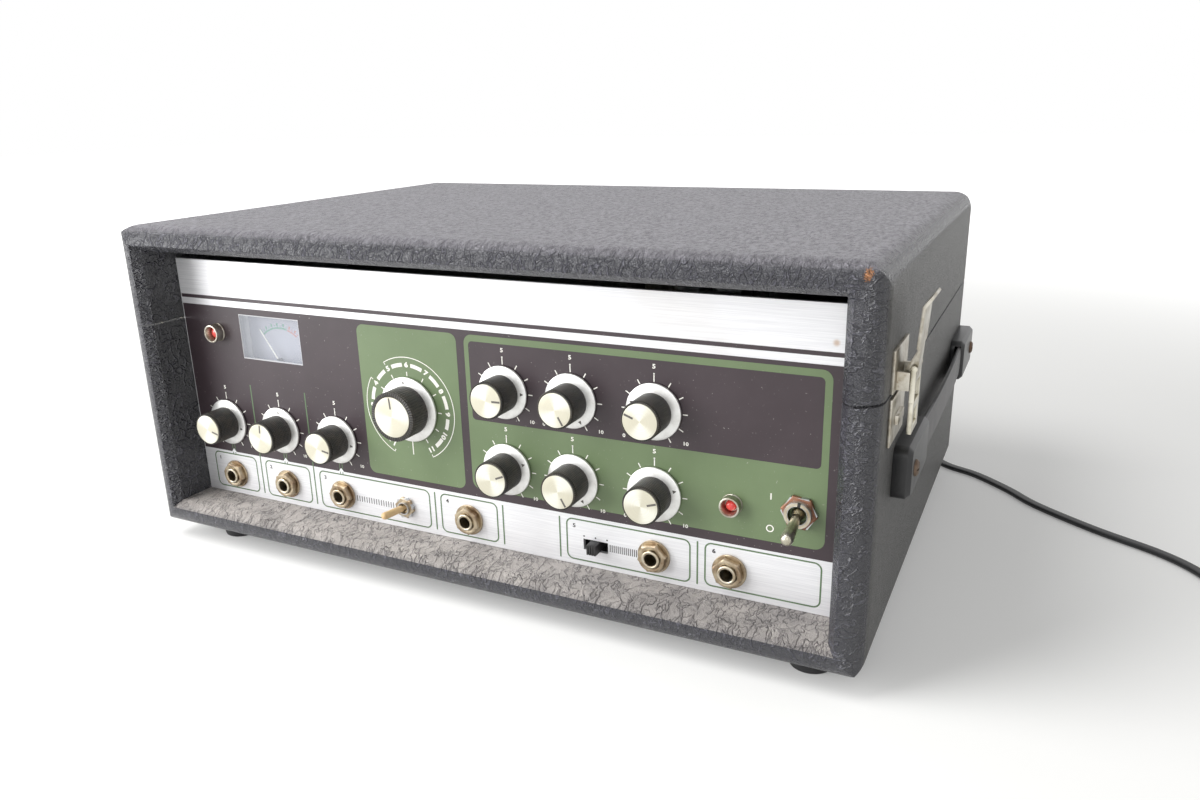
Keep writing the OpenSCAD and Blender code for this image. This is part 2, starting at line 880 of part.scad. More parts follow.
module transformer() {
  color(steel) span([-180, fy(206), hz(18)], [-116, fy(266), hz(64)]);
  color(brown) span([-172, fy(214), hz(63)], [-124, fy(258), hz(78)]);
}

module circuit_board() {
  color(green) span([-100, fy(60), hz(32)], [40, fy(190), hz(33.6)]);
  color(black)
  for (x = [-80:24:20]) {
    for (d = [84, 120, 156]) {
      translate([x, fy(d), hz(33)]) cylinder(r = 5, h = 13, $fn = 32);
    }
  }
}

module reverb_tank() {
  color(steel)
  difference() {
    span([-105, fy(204), hz(18)], [45, fy(246), hz(46)]);
    span([-103, fy(206), hz(20)], [43, fy(244), hz(44.5)]);
  }
}

// ---- Cord ----

relief_end = rear_y + relief_len;

module strain_relief() {
  color(black)
  translate([exit_x, rear_y, hz(exit_h)]) rotate([-90, 0, 0]) {
    rotate_extrude() polygon([[0, -wall_t], [4.9, -wall_t], [4.9, 0], [8, 0], [8, 2], [5.5, 4],
      [4.2, relief_len], [0, relief_len]]);
  }
}

// Flat section standing across the run: width level, thickness up
function level_side(run) = unit([run[1], -run[0], 0]);
function section(at, run, wide, thick, sides) =
  let (across = level_side(run))
  let (up = cross(across, run))
  [for (k = [0:sides - 1])
    let (a = 360 * k / sides)
    at + across * wide / 2 * cos(a) + up * thick / 2 * min(1, max(-1, sin(a) * 1.16))];
function run_at(points, i) = unit(points[min(i + 1, len(points) - 1)] - points[max(i - 1, 0)]);

// One closed tube through the points, with its end rings square to the given directions
module tube(points, first_run, last_run, sides) {
  n = len(points);
  rings = [for (i = [0:n - 1]) section(points[i],
    i == 0 ? first_run : i == n - 1 ? last_run : run_at(points, i), cord_wide, cord_thick, sides)];
  faces = concat(
    [[for (k = [0:sides - 1]) k]],
    [for (i = [0:n - 2]) for (k = [0:sides - 1])
      each [[i * sides + k, (i + 1) * sides + k, i * sides + (k + 1) % sides],
        [i * sides + (k + 1) % sides, (i + 1) * sides + k, (i + 1) * sides + (k + 1) % sides]]],
    [[for (k = [sides - 1:-1:0]) (n - 1) * sides + k]]);
  polyhedron(points = [for (r = rings) each r], faces = faces);
}

// Route of the free stretch: out of the case, down behind it, round the rear corner on the table
lie = 2;
coil_at = [404, 0];
coil_in = 23.1;
coil_pitch = 6.6;
coil_turns = 3.5;
coil_out = coil_in + coil_pitch * coil_turns;
coil_low = 2.65;
coil_rise = 4;
route = [
  [exit_x, relief_end, hz(exit_h)],
  [120, 178, 43],
  [121, 188, 39],
  [125, 199, 29],
  [132, 207, 17],
  [142, 210, 7],
  [154, 206, 2.6],
  [167, 197, lie],
  [180, 182, lie],
  [190, 165, lie],
  [198, 150, lie],
  [209, 138.5, lie],
  [227, 129, lie],
  [248, 110, lie],
  [265, 91, lie],
  [297, 67, lie],
  [326, 50, lie],
  [342, 36, lie],
  [352, 20, 2.2],
  [357, 6, coil_low],
  [coil_at[0] - coil_out, 0, coil_low]];
function smooth(p, i, t) =
  let (a = p[max(i - 1, 0)])
  let (b = p[i])
  let (c = p[i + 1])
  let (d = p[min(i + 2, len(p) - 1)])
  0.5 * (2 * b + (c - a) * t + (2 * a - 5 * b + 4 * c - d) * t * t + (3 * b - a - 3 * c + d) * t * t * t);
function step_count(p, i) = norm(p[i + 1] - p[i]) > 14 ? 2 : 1;
free_line = concat(
  [for (i = [0:len(route) - 2]) for (t = [0:step_count(route, i) - 1]) smooth(route, i, t / step_count(route, i))],
  [route[len(route) - 1]]);
function line_length(p) = len(p) < 2 ? 0 : [for (i = 0, s = 0; i < len(p); s = s + (i < len(p) - 1 ? norm(p[i + 1] - p[i]) : 0), i = i + 1) s][len(p) - 1];

module power_cord() {
  color(black) tube(free_line, [0, 1, 0], [0, -1, 0], 8);
}

// Coil: spirals in on the lower layer, climbs in half a turn, spirals out on the upper one
ring_turn = 24;
coil_steps = (2 * coil_turns + 0.5) * ring_turn;
function coil_r(t) = t < coil_turns ? coil_out - coil_pitch * t
  : t < coil_turns + 0.5 ? coil_in : coil_in + coil_pitch * (t - coil_turns - 0.5);
function coil_z(t) = coil_low + coil_rise * min(1, max(0, (t - coil_turns) * 2));
coil_line = [for (i = [0:coil_steps]) let (t = i / ring_turn)
  [coil_at[0] + coil_r(t) * cos(180 + 360 * t), coil_at[1] + coil_r(t) * sin(180 + 360 * t), coil_z(t)]];
coil_end = coil_line[coil_steps];
tail_len = 30;
tail_line = [coil_end + [0.6, 10, 0], coil_end + [0.8, 20, 0], coil_end + [0.8, tail_len, 0]];
plug_at = tail_line[2];
coil_all = concat(coil_line, tail_line);
// least gap of the coil to itself: neighbouring turns side by side and one above the other
gap_side = min([for (i = [0:coil_turns * ring_turn - ring_turn])
  norm([coil_line[i][0], coil_line[i][1]] - coil_at) - norm([coil_line[i + ring_turn][0], coil_line[i + ring_turn][1]] - coil_at)]) - cord_wide;
gap_above = coil_rise - cord_thick;
echo(free_length = line_length(free_line), coil_length = line_length(coil_all), least_gap = min(gap_side, gap_above));

module cord_coil() {
  color(black) tube(coil_all, [0, -1, 0], [0, 1, 0], 6);
}

module plug() {
  color(black)
  translate(plug_at) {
    difference() {
      hull() {
        span([-5, 0, -4], [5, 4, 4]);
        span([-12, 14, -5.5], [12, 20, 5.5]);
        span([-14, 22, -6], [14, 36, 6]);
      }
      // finger grooves
      for (x = [-14.5, 13.7]) {
        for (y = [24, 28, 32]) {
          span([x, y, -7], [x + 0.8, y + 1.4, 7]);
        }
      }
    }
  }
  color(nickel)
  translate(plug_at) {
    for (x = [-6.35, 6.35]) {
      span([x - 0.75, 35, -3.15], [x + 0.75, 53, 3.15]);
    }
  }
}

// ---- Nodes ----

lower_case();
feet();
case_screws();
front_panel();
chassis();
deck_plate();
handle_straps();
handle_caps();
latch_keepers();
lower_hinges();
lid();
lid_hinges();
latch_plates();
right_latch_lever();
left_latch_lever();
right_latch_hook();
left_latch_hook();
jacks();
jack_nuts();
meter_case();
meter_needle();
meter_window();
panel_lamps();
power_switch();
power_lever();
input_switch();
input_lever();
output_switch();
output_slider();
pots();
mode_switch();
mic1_knob();
mic2_knob();
instrument_knob();
mode_knob();
bass_knob();
treble_knob();
reverb_knob();
repeat_knob();
intensity_knob();
echo_knob();
tape_tray();
tray_cover();
tape_loop();
tape_heads();
capstan_flywheel();
motor();
motor_pulley();
drive_belt();
pinch_arm();
pinch_roller();
solenoid();
solenoid_plunger();
transformer();
circuit_board();
reverb_tank();
strain_relief();
power_cord();
cord_coil();
plug();
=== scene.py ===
import json
import math

import bmesh
import bpy
from mathutils import Matrix, Vector

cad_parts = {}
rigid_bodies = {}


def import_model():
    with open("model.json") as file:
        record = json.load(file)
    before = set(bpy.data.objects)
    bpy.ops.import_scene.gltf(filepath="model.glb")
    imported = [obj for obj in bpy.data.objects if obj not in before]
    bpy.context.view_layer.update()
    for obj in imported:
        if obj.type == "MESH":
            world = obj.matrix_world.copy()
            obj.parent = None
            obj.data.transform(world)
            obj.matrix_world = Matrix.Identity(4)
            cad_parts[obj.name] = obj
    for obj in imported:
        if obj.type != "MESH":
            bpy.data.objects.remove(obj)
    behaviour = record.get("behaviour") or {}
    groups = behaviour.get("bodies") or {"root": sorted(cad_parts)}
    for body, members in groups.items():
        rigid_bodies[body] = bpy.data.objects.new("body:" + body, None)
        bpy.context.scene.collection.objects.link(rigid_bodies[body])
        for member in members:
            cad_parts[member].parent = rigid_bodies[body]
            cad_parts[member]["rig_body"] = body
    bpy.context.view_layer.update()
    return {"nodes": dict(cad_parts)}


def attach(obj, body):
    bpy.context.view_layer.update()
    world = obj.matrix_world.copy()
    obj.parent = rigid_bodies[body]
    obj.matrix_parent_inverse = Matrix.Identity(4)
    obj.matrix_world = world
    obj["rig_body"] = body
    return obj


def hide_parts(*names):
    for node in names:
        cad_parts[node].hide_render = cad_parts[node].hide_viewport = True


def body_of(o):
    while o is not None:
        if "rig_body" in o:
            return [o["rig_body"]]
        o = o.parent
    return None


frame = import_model()
scene = bpy.context.scene
mm = 0.001
white = (1, 1, 1, 1)
print("frame loaded:", len(frame["nodes"]), "nodes")

# Depth of the panel's face and height of the case over the floor, in millimetres
case = {"panelFace": -128.5, "foot": 8.0}


def panelMatrix(x, h, out=0.0, turn=0.0):  # local +Z out of the panel, +Y up, turned clockwise
    base = Matrix(((1, 0, 0, x * mm),
                   (0, 0, -1, (case["panelFace"] - out) * mm),
                   (0, 1, 0, (case["foot"] + h) * mm),
                   (0, 0, 0, 1)))
    return base @ Matrix.Rotation(math.radians(-turn), 4, "Z")


def tone(red, green, blue):  # display colour to linear
    def straight(value):
        value = value / 255
        return value / 12.92 if value <= 0.04045 else ((value + 0.055) / 1.055) ** 2.4
    return (straight(red), straight(green), straight(blue), 1.0)


# The camera's place in metres, its angles in degrees, its lens in millimetres and its shift
shot = {
    "place": (0.26305, -0.50244, 0.24341),
    "azimuth": 26.625,
    "elevation": 17.545,
    "roll": -1.387,
    "lens": 28.228,
    "sensor": 36,
    "shift": (0.00178, 0.00108),
    "reach": (0.01, 50),
}


def makeCamera():
    azimuth, elevation, roll = (math.radians(shot[key]) for key in ("azimuth", "elevation", "roll"))
    forward = Vector((-math.sin(azimuth) * math.cos(elevation),
                      math.cos(azimuth) * math.cos(elevation), -math.sin(elevation)))
    level = Vector((math.cos(azimuth), math.sin(azimuth), 0))
    upright = level.cross(forward)
    right = level * math.cos(roll) + upright * math.sin(roll)
    up = upright * math.cos(roll) - level * math.sin(roll)
    lens = bpy.data.cameras.new("shotCamera")
    lens.lens = shot["lens"]
    lens.sensor_width = shot["sensor"]
    lens.shift_x, lens.shift_y = shot["shift"]
    lens.clip_start, lens.clip_end = shot["reach"]
    camera = bpy.data.objects.new("shotCamera", lens)
    turned = Matrix((right, up, -forward)).transposed().to_4x4()
    camera.matrix_world = Matrix.Translation(shot["place"]) @ turned
    scene.collection.objects.link(camera)
    scene.camera = camera


makeCamera()
print("camera placed")


class Wire:  # a socket that adds Math nodes when it is used in a sum
    def __init__(self, look, socket):
        self.look = look
        self.socket = socket

    def work(self, operation, first, second=0.0):
        return self.look.add("ShaderNodeMath", {"operation": operation}, {0: first, 1: second})

    def __add__(self, other):
        return self.work("ADD", self, other)

    def __radd__(self, other):
        return self.work("ADD", other, self)

    def __sub__(self, other):
        return self.work("SUBTRACT", self, other)

    def __rsub__(self, other):
        return self.work("SUBTRACT", other, self)

    def __mul__(self, other):
        return self.work("MULTIPLY", self, other)

    def __rmul__(self, other):
        return self.work("MULTIPLY", other, self)

    def __pow__(self, other):
        return self.work("POWER", self, other)

    def __gt__(self, other):
        return self.work("GREATER_THAN", self, other)

    def __lt__(self, other):
        return self.work("LESS_THAN", self, other)

    def __abs__(self):
        return self.work("ABSOLUTE", self)

    def sine(self):
        return self.work("SINE", self)


class Look:  # the nodes of one material, or of the world, and the ways to add to them
    def __init__(self, made, ending="ShaderNodeOutputMaterial"):
        self.made = made
        self.made.use_nodes = True
        self.tree = self.made.node_tree
        self.tree.nodes.clear()
        self.end = self.tree.nodes.new(ending)

    def add(self, kind, settings=None, values=None, out=0):
        node = self.tree.nodes.new(kind)
        for name, value in (settings or {}).items():
            setattr(node, name, value)
        for key, value in (values or {}).items():
            if isinstance(value, Wire):
                self.tree.links.new(value.socket, node.inputs[key])
            else:
                node.inputs[key].default_value = value
        return Wire(self, node.outputs[out])

    def place(self):  # the piece's own coordinates, in metres
        return self.add("ShaderNodeTexCoord", out="Object")

    def split(self, wire):
        node = self.add("ShaderNodeSeparateXYZ", values={0: wire}).socket.node
        return [Wire(self, socket) for socket in node.outputs]

    def angle(self, x, y):  # round the piece's own axis
        return self.add("ShaderNodeMath", {"operation": "ARCTAN2"}, {0: y, 1: x})

    def distance(self, wire, point):
        return self.add("ShaderNodeVectorMath", {"operation": "DISTANCE"}, {0: wire, 1: point}, "Value")

    def stretch(self, wire, scale, turn=(0, 0, 0)):
        return self.add("ShaderNodeMapping", {}, {"Vector": wire, "Scale": scale, "Rotation": turn})

    def noise(self, at, scale, detail=4.0, rough=0.55, out="Fac"):
        values = {"Vector": at, "Scale": scale, "Detail": detail, "Roughness": rough}
        return self.add("ShaderNodeTexNoise", {}, values, out)

    def warp(self, at, amount, scale):  # coordinates pushed about by noise
        push = self.add("ShaderNodeTexNoise", {}, {"Vector": at, "Scale": scale, "Detail": 2.0}, "Color")
        centred = {0: push, 1: (0.5, 0.5, 0.5)}
        middle = self.add("ShaderNodeVectorMath", {"operation": "SUBTRACT"}, centred)
        grown = self.add("ShaderNodeVectorMath", {"operation": "SCALE"}, {0: middle, "Scale": amount})
        return self.add("ShaderNodeVectorMath", {"operation": "ADD"}, {0: at, 1: grown})

    def level(self, wire, low, high):  # 0 at the low value, 1 at the high one
        settings = {"interpolation_type": "SMOOTHSTEP"}
        return self.add("ShaderNodeMapRange", settings, {0: wire, 1: low, 2: high})

    def mix(self, share, first, second):
        return self.add("ShaderNodeMix", {"data_type": "RGBA"}, {0: share, 6: first, 7: second}, 2)

    def bump(self, height, depth, strength=1.0):
        return self.add("ShaderNodeBump", {}, {"Height": height, "Distance": depth, "Strength": strength})

    def close(self, shader):
        self.tree.links.new(shader.socket, self.end.inputs[0])
        return self.made

    def finish(self, values):
        return self.close(self.add("ShaderNodeBsdfPrincipled", {}, values))


def newLook(name):
    return Look(bpy.data.materials.new(name))


vinylTones = {
    # ridgeHighlight: lighter tone for the creases, a painted highlight
    "dark": tone(40, 40, 50), "deep": tone(18, 18, 22), "ridgeHighlight": tone(118, 117, 130),
    # side and sideSheenDark: lighter tones for the side faces, a painted sheen
    "side": tone(84, 83, 80), "sideSheenDark": tone(50, 49, 48), "inside": tone(20, 20, 22),
    # top and topSheenDark: light tones for the top faces, a painted reflection of the bright surroundings
    "top": tone(160, 157, 165), "topSheenDark": tone(92, 89, 97),
    # dustAndShadeTone darkens the ledge's dust, as real worn patches and as painted shade
    "dust": tone(190, 183, 178), "dustAndShadeTone": tone(92, 88, 90), "wood": tone(172, 112, 62),
}

# Where the covering changes, in metres, and how many folds there are to a metre
vinyl = {
    "wall": 0.1925,  # the walls' folds run up from here outwards
    "inner": 0.197,  # side faces nearer the middle than this are inside the case
    "topHeight": (0.12, 0.15), "ledgeHeight": (0.03, 0.04), "ledgeDepth": (-0.13, -0.12),
    "torn": (0.1995, -0.1515, 0.1815), "tornSize": 0.0030,
    "folds": 230.0, "crossFolds": 170.0, "fineFolds": 1100.0,
    "grain": 1900.0, "patches": 45.0, "depth": 0.0011,
}


def creases(look, place, scale, width):  # thin meandering folds
    field = look.noise(place, scale, 2.0, 0.5)
    return 1 - look.level(abs(field - 0.5), 0.0, width)


def makeVinyl():
    look = newLook("vinylCovering")
    place = look.place()
    nx, ny, nz = look.split(look.add("ShaderNodeTexCoord", out="Normal"))
    px, py, pz = look.split(place)

    # Textures
    bent = look.warp(place, 0.005, 120.0)
    upright = abs(px) > vinyl["wall"]
    lying = creases(look, look.stretch(bent, (1.0, 0.45, 0.45)), vinyl["folds"], 0.045)
    standing = creases(look, look.stretch(bent, (0.45, 0.45, 1.0)), vinyl["folds"], 0.045)
    fold = lying + (standing - lying) * upright
    cross = creases(look, look.warp(place, 0.005, 160.0), vinyl["crossFolds"], 0.022)
    fine = creases(look, look.warp(place, 0.002, 400.0), vinyl["fineFolds"], 0.08)
    patches = look.level(look.noise(place, vinyl["patches"], 3.0), 0.35, 0.65)
    drawn = look.stretch(look.warp(place, 0.012, 30.0), (900.0, 1500.0, 190.0))
    streaks = look.noise(drawn, 1.0, 4.0, 0.65)
    speckle = look.noise(place, vinyl["grain"], 3.0, 0.6)
    slanted = look.stretch(look.warp(place, 0.006, 80.0), (520.0, 260.0, 400.0), (0, 0, 0.5))
    leather = look.noise(slanted, 1.0, 3.0, 0.6)

    # Faces of the case
    sideFace = look.level(abs(nx), 0.92, 0.995)
    inner = sideFace * (abs(px) < vinyl["inner"])
    topFace = look.level(nz, 0.6, 0.97) * look.level(pz, *vinyl["topHeight"])
    low = 1 - look.level(pz, *vinyl["ledgeHeight"])
    ledge = look.level(nz, 0.5, 0.9) * low * (1 - look.level(py, *vinyl["ledgeDepth"]))

    # Colours
    # creases lighter than the covering: painted highlight on the ridges of the folds
    front = look.mix(fold * 0.45 + cross * 0.3, vinylTones["dark"], vinylTones["ridgeHighlight"])
    front = look.mix(look.level(speckle, 0.5, 0.75) * 0.5, front, vinylTones["deep"])
    # side faces lighter than the front: painted sheen over the real streaky grain
    side = look.mix(look.level(streaks, 0.4, 0.6), vinylTones["sideSheenDark"], vinylTones["side"])
    # top faces light grey: painted reflection, speckled with real leather grain
    topGrain = look.level(speckle * 0.4 + leather * 0.6 + fine * 0.1, 0.42, 0.62)
    top = look.mix(topGrain, vinylTones["topSheenDark"], vinylTones["top"])
    # the ledge's dust, darker along the folds
    dustyAndShaded = look.mix(fold * 0.45 + cross * 0.35, vinylTones["dust"], vinylTones["dustAndShadeTone"])
    # darker in worn patches, real wear, and darker towards the right, painted shade
    wornAndShaded = patches * 0.35 + look.level(px, -0.05, 0.2) * 0.3
    dustyAndShaded = look.mix(wornAndShaded, dustyAndShaded, vinylTones["dustAndShadeTone"])
    colour = look.mix(sideFace, front, side)
    colour = look.mix(topFace, colour, top)
    colour = look.mix(ledge, colour, dustyAndShaded)
    # inner walls of the recess near black: painted shade
    colour = look.mix(inner * 0.9, colour, vinylTones["inside"])
    away = look.distance(place, vinyl["torn"])
    torn = (away + (speckle - 0.5) * 0.009 + abs(px - vinyl["torn"][0]) * 0.9) < vinyl["tornSize"]
    colour = look.mix(torn, colour, vinylTones["wood"])

    # Relief
    calm = (1 - sideFace * 0.85) * (1 - topFace * 0.9) * (1 - ledge * 0.4)
    folds = (fold + cross * 0.6) * (0.55 + patches * 0.45) * calm
    height = folds * 1.9 + streaks * sideFace * 1.6 + leather * topFace * 1.4
    height = height + fine * (0.2 + topFace * 0.3) + speckle * 0.3 - torn * 0.6
    rough = 0.16 + sideFace * 0.22 + topFace * 0.2 + ledge * 0.35 + speckle * 0.1
    return look.finish({"Base Color": colour, "Roughness": rough, "Specular IOR Level": 0.8,
                        "Normal": look.bump(height, vinyl["depth"])})


def makeInk(name, base, shade, rough):  # printed colour with a little dust
    look = newLook(name)
    place = look.place()
    dust = look.level(look.noise(place, 900.0, 2.0), 0.7, 0.78)
    cloud = look.noise(place, 35.0, 3.0)
    colour = look.mix(look.level(cloud, 0.3, 0.7), base, shade)
    colour = look.mix(dust * 0.35, colour, tone(200, 196, 190))
    skin = look.noise(place, 1600.0, 2.0)
    return look.finish({"Base Color": colour, "Roughness": rough + cloud * 0.1,
                        "Normal": look.bump(skin, 0.00006, 0.5)})


rustSpot = {"at": (0.1844, -0.1285, 0.1489), "size": (0.0004, 0.0022), "tone": tone(176, 134, 84)}


def makePanelMetal():  # brushed along the panel
    look = newLook("brushedPanel")
    place = look.place()
    brush = look.noise(look.stretch(place, (30.0, 1200.0, 2600.0)), 1.0, 4.0, 0.6)
    cloud = look.noise(place, 14.0, 3.0)
    colour = look.mix(look.level(brush, 0.3, 0.7), tone(222, 222, 225), tone(238, 238, 240))
    colour = look.mix(look.level(cloud, 0.55, 0.75) * 0.2, colour, tone(196, 190, 180))
    away = look.distance(place, rustSpot["at"])
    spot = 1 - look.level(away + (cloud - 0.5) * 0.002, *rustSpot["size"])
    colour = look.mix(spot * 0.6, colour, rustSpot["tone"])
    return look.finish({"Base Color": colour, "Metallic": 0.35, "Roughness": 0.34 + brush * 0.12,
                        "Normal": look.bump(brush, 0.00002, 0.5)})


def makeMetal(name, bright, dull, rough, rust, metallic, grain=(600.0, 600.0, 600.0)):
    look = newLook(name)
    place = look.place()
    scratch = look.noise(look.stretch(place, grain), 1.0, 4.0, 0.6)
    cloud = look.noise(place, 160.0, 4.0, 0.6)
    colour = look.mix(look.level(cloud, 0.35, 0.7), bright, dull)
    pits = look.level(look.noise(place, 700.0, 3.0), 0.62 - rust * 0.1, 0.72 - rust * 0.1)
    stain = pits * look.level(cloud, 0.45, 0.6) * (0.15 + rust)
    colour = look.mix(stain, colour, tone(112, 72, 44))
    return look.finish({"Base Color": colour, "Metallic": metallic - stain * 0.6,
                        "Roughness": rough + scratch * 0.15 + stain * 0.3,
                        "Normal": look.bump(scratch + pits * rust * 2, 0.00004, 0.6)})


def makeSpunCap():  # turned cap: fine rings in its relief, and soft cones of light painted into its colour
    look = newLook("spunCap")
    x, y, z = look.split(look.place())
    radius = (x * x + y * y) ** 0.5
    rings = (radius * 42000.0).sine()
    band = look.noise(look.add("ShaderNodeCombineXYZ", values={0: radius * 60.0}), 40.0, 2.0)
    # painted highlight: lighter and darker wedges round the cap stand in for the spun metal's cones of light
    wedge = look.level((look.angle(x, y) * 2.0 + 0.6).sine(), -0.7, 0.9)
    colour = look.mix(wedge, tone(206, 202, 184), tone(236, 235, 224))
    colour = look.mix(look.level(band, 0.3, 0.7) * 0.3, colour, tone(190, 184, 164))
    return look.finish({"Base Color": colour, "Metallic": 0.6, "Roughness": 0.32 + band * 0.08,
                        "Normal": look.bump(rings * 0.5 + band, 0.00001, 0.7)})


def makeKnurl():  # crossed fine grooves round the grip, the raised crests lighter in dusty patches: painted highlight and dust
    look = newLook("knurledGrip")
    place = look.place()
    x, y, z = look.split(place)
    angle = look.angle(x, y)
    first = (angle * 30.0 + z * 3000.0).sine()
    second = (angle * 30.0 - z * 3000.0).sine()
    pattern = first * second
    dust = look.noise(place, 260.0, 3.0)
    # crests lighter: painted highlight, patchy with dust
    crestHighlightAndDust = look.level(pattern, -0.6, 0.4) * look.level(dust, 0.3, 0.7)
    colour = look.mix(crestHighlightAndDust * 0.55, tone(30, 28, 27), tone(96, 88, 74))
    return look.finish({"Base Color": colour, "Roughness": 0.42 + dust * 0.15,
                        "Normal": look.bump(pattern, 0.00022, 0.9)})


def makePlastic(name, base, shade, rough, grainDepth=0.00003, grainScale=1500.0):
    look = newLook(name)
    place = look.place()
    cloud = look.noise(place, 60.0, 4.0)
    grain = look.noise(place, grainScale, 3.0)
    colour = look.mix(look.level(cloud, 0.3, 0.72), base, shade)
    return look.finish({"Base Color": colour, "Roughness": rough + cloud * 0.12,
                        "Normal": look.bump(grain, grainDepth, 0.7)})


def makeStrap():  # lengthwise ribs, lighter on their crests and darker between them: painted highlight and shade
    look = newLook("ribbedStrap")
    place = look.place()
    x, y, z = look.split(place)
    ribs = (z * 7000.0).sine()
    cloud = look.noise(place, 120.0, 3.0)
    # painted highlight on the rib crests, painted shade between them
    colour = look.mix(look.level(ribs, -0.8, 0.6), tone(50, 49, 52), tone(106, 104, 106))
    colour = look.mix(look.level(cloud, 0.4, 0.7) * 0.25, colour, tone(130, 127, 120))
    return look.finish({"Base Color": colour, "Roughness": 0.45, "Normal": look.bump(ribs, 0.00018, 0.9)})


def makeClear(name, tint, alpha, rough):
    look = newLook(name)
    smear = look.noise(look.place(), 120.0, 3.0)
    return look.finish({"Base Color": tint, "Roughness": rough + smear * 0.08, "Alpha": alpha + smear * 0.04,
                        "Specular IOR Level": 0.6, "Normal": look.bump(smear, 0.00002, 0.3)})


def makeLens(name, base, shade, glow):
    look = newLook(name)
    cloud = look.noise(look.place(), 900.0, 2.0)
    colour = look.mix(look.level(cloud, 0.3, 0.7), base, shade)
    # the lens glows though the lamp is not lit: painted glow
    return look.finish({"Base Color": colour, "Roughness": 0.12, "Coat Weight": 0.8, "Coat Roughness": 0.05,
                        "Emission Color": colour, "Emission Strength": glow})


def makeTape():
    look = newLook("tapeOxide")
    streak = look.noise(look.stretch(look.place(), (200.0, 200.0, 2500.0)), 1.0, 3.0)
    colour = look.mix(streak, tone(58, 40, 30), tone(86, 62, 48))
    return look.finish({"Base Color": colour, "Roughness": 0.3 + streak * 0.1})


# Two tones and a roughness for each, and for some plastics the depth and scale of their grain
inks = {
    "darkInk": ((54, 43, 48), (60, 49, 54), 0.34),
    "greenInk": ((103, 121, 86), (109, 127, 92), 0.34),
    "whiteInk": ((246, 245, 238), (236, 234, 226), 0.5),
    "lineInk": ((88, 112, 80), (96, 120, 88), 0.5),
    "blackInk": ((58, 54, 56), (66, 62, 64), 0.5),
}
plastics = {
    "mark": ((96, 92, 88), (84, 80, 76), 0.5),
    "blackPlastic": ((34, 33, 34), (46, 45, 46), 0.34),
    "moulded": ((28, 28, 30), (40, 40, 41), 0.3, 0.00006, 900.0),
    "rubber": ((36, 36, 38), (50, 49, 50), 0.7, 0.00008, 800.0),
    "painted": ((62, 68, 74), (50, 54, 60), 0.45, 0.0001, 500.0),
    "cream": ((226, 196, 150), (212, 178, 130), 0.35),
    "meterBody": ((212, 212, 214), (196, 196, 200), 0.5),
    "meterFace": ((170, 172, 184), (160, 162, 174), 0.6),
    "meterGreen": ((70, 150, 122), (62, 140, 112), 0.6),
    "meterRed": ((190, 124, 120), (180, 114, 110), 0.6),
    "needle": ((248, 247, 240), (238, 236, 228), 0.5),
    "board": ((70, 112, 70), (54, 92, 56), 0.4),
    "cordSheath": ((30, 30, 32), (40, 40, 42), 0.38, 0.00003, 900.0),
    "tieBand": ((56, 56, 60), (70, 70, 74), 0.5),
}

# Bright and dull tone, roughness, rust, how metallic it looks, and for some the scale of the scratches
metals = {
    "skirt": ((236, 236, 234), (218, 217, 214), 0.36, 0.0, 0.8, (900.0, 900.0, 900.0)),
    "nutMetal": ((190, 176, 152), (140, 120, 98), 0.3, 0.2, 1.0),
    "bushMetal": ((206, 198, 180), (170, 156, 132), 0.26, 0.1, 1.0),
    "nickel": ((196, 192, 182), (158, 150, 134), 0.3, 0.3, 1.0),
    "chrome": ((206, 202, 188), (170, 164, 144), 0.22, 0.1, 1.0),
    "rustyMetal": ((150, 108, 86), (112, 76, 58), 0.45, 0.35, 0.6),
    "screwMetal": ((120, 104, 90), (90, 72, 60), 0.4, 0.3, 0.8),
    "steel": ((196, 197, 198), (168, 169, 170), 0.34, 0.0, 1.0, (80.0, 2200.0, 2200.0)),
    "castSteel": ((166, 166, 166), (136, 137, 138), 0.45, 0.0, 1.0),
    "brass": ((214, 184, 112), (180, 146, 82), 0.28, 0.0, 1.0),
}

finishes = {
    "vinyl": makeVinyl(),
    "panelMetal": makePanelMetal(),
    "cap": makeSpunCap(),
    "knurl": makeKnurl(),
    "strap": makeStrap(),
    "glass": makeClear("glass", tone(232, 236, 244), 0.16, 0.06),
    "cover": makeClear("cover", tone(220, 228, 232), 0.22, 0.1),
    "lens": makeLens("lens", tone(196, 36, 34), tone(214, 60, 52), 0.25),
    "tape": makeTape(),
}
for make, table in ((makeInk, inks), (makePlastic, plastics), (makeMetal, metals)):
    for look, (first, second, *rest) in table.items():
        finishes[look] = make(look, tone(*first), tone(*second), *rest)
print("finishes made:", len(finishes))


def newPiece(name, bm, looks, body, sharp=35.0, recalc=True):
    if recalc:
        bmesh.ops.recalc_face_normals(bm, faces=bm.faces)
    for face in bm.faces:
        face.smooth = True
    for edge in bm.edges:
        edge.smooth = len(edge.link_faces) == 2 and edge.calc_face_angle(0.0) < math.radians(sharp)
    mesh = bpy.data.meshes.new(name)
    bm.to_mesh(mesh)
    bm.free()
    for look in looks:
        mesh.materials.append(finishes[look])
    piece = bpy.data.objects.new(name, mesh)
    scene.collection.objects.link(piece)
    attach(piece, body)
    return piece


def circle(sides):  # cosine and sine of evenly spaced angles
    angles = [2 * math.pi * k / sides for k in range(sides)]
    return [(math.cos(angle), math.sin(angle)) for angle in angles]


def squared(value, power):  # pushes a circle towards a rounded box
    return math.copysign(abs(value) ** power, value)


def band(bm, low, high, look=0):  # faces between two rings, where a ring of one point is a tip
    sides = max(len(low), len(high))
    for k in range(sides):
        n = (k + 1) % sides
        around = (low[k % len(low)], low[n % len(low)], high[n % len(high)], high[k % len(high)])
        corners = list(dict.fromkeys(around))
        if len(corners) > 2:
            bm.faces.new(corners).material_index = look


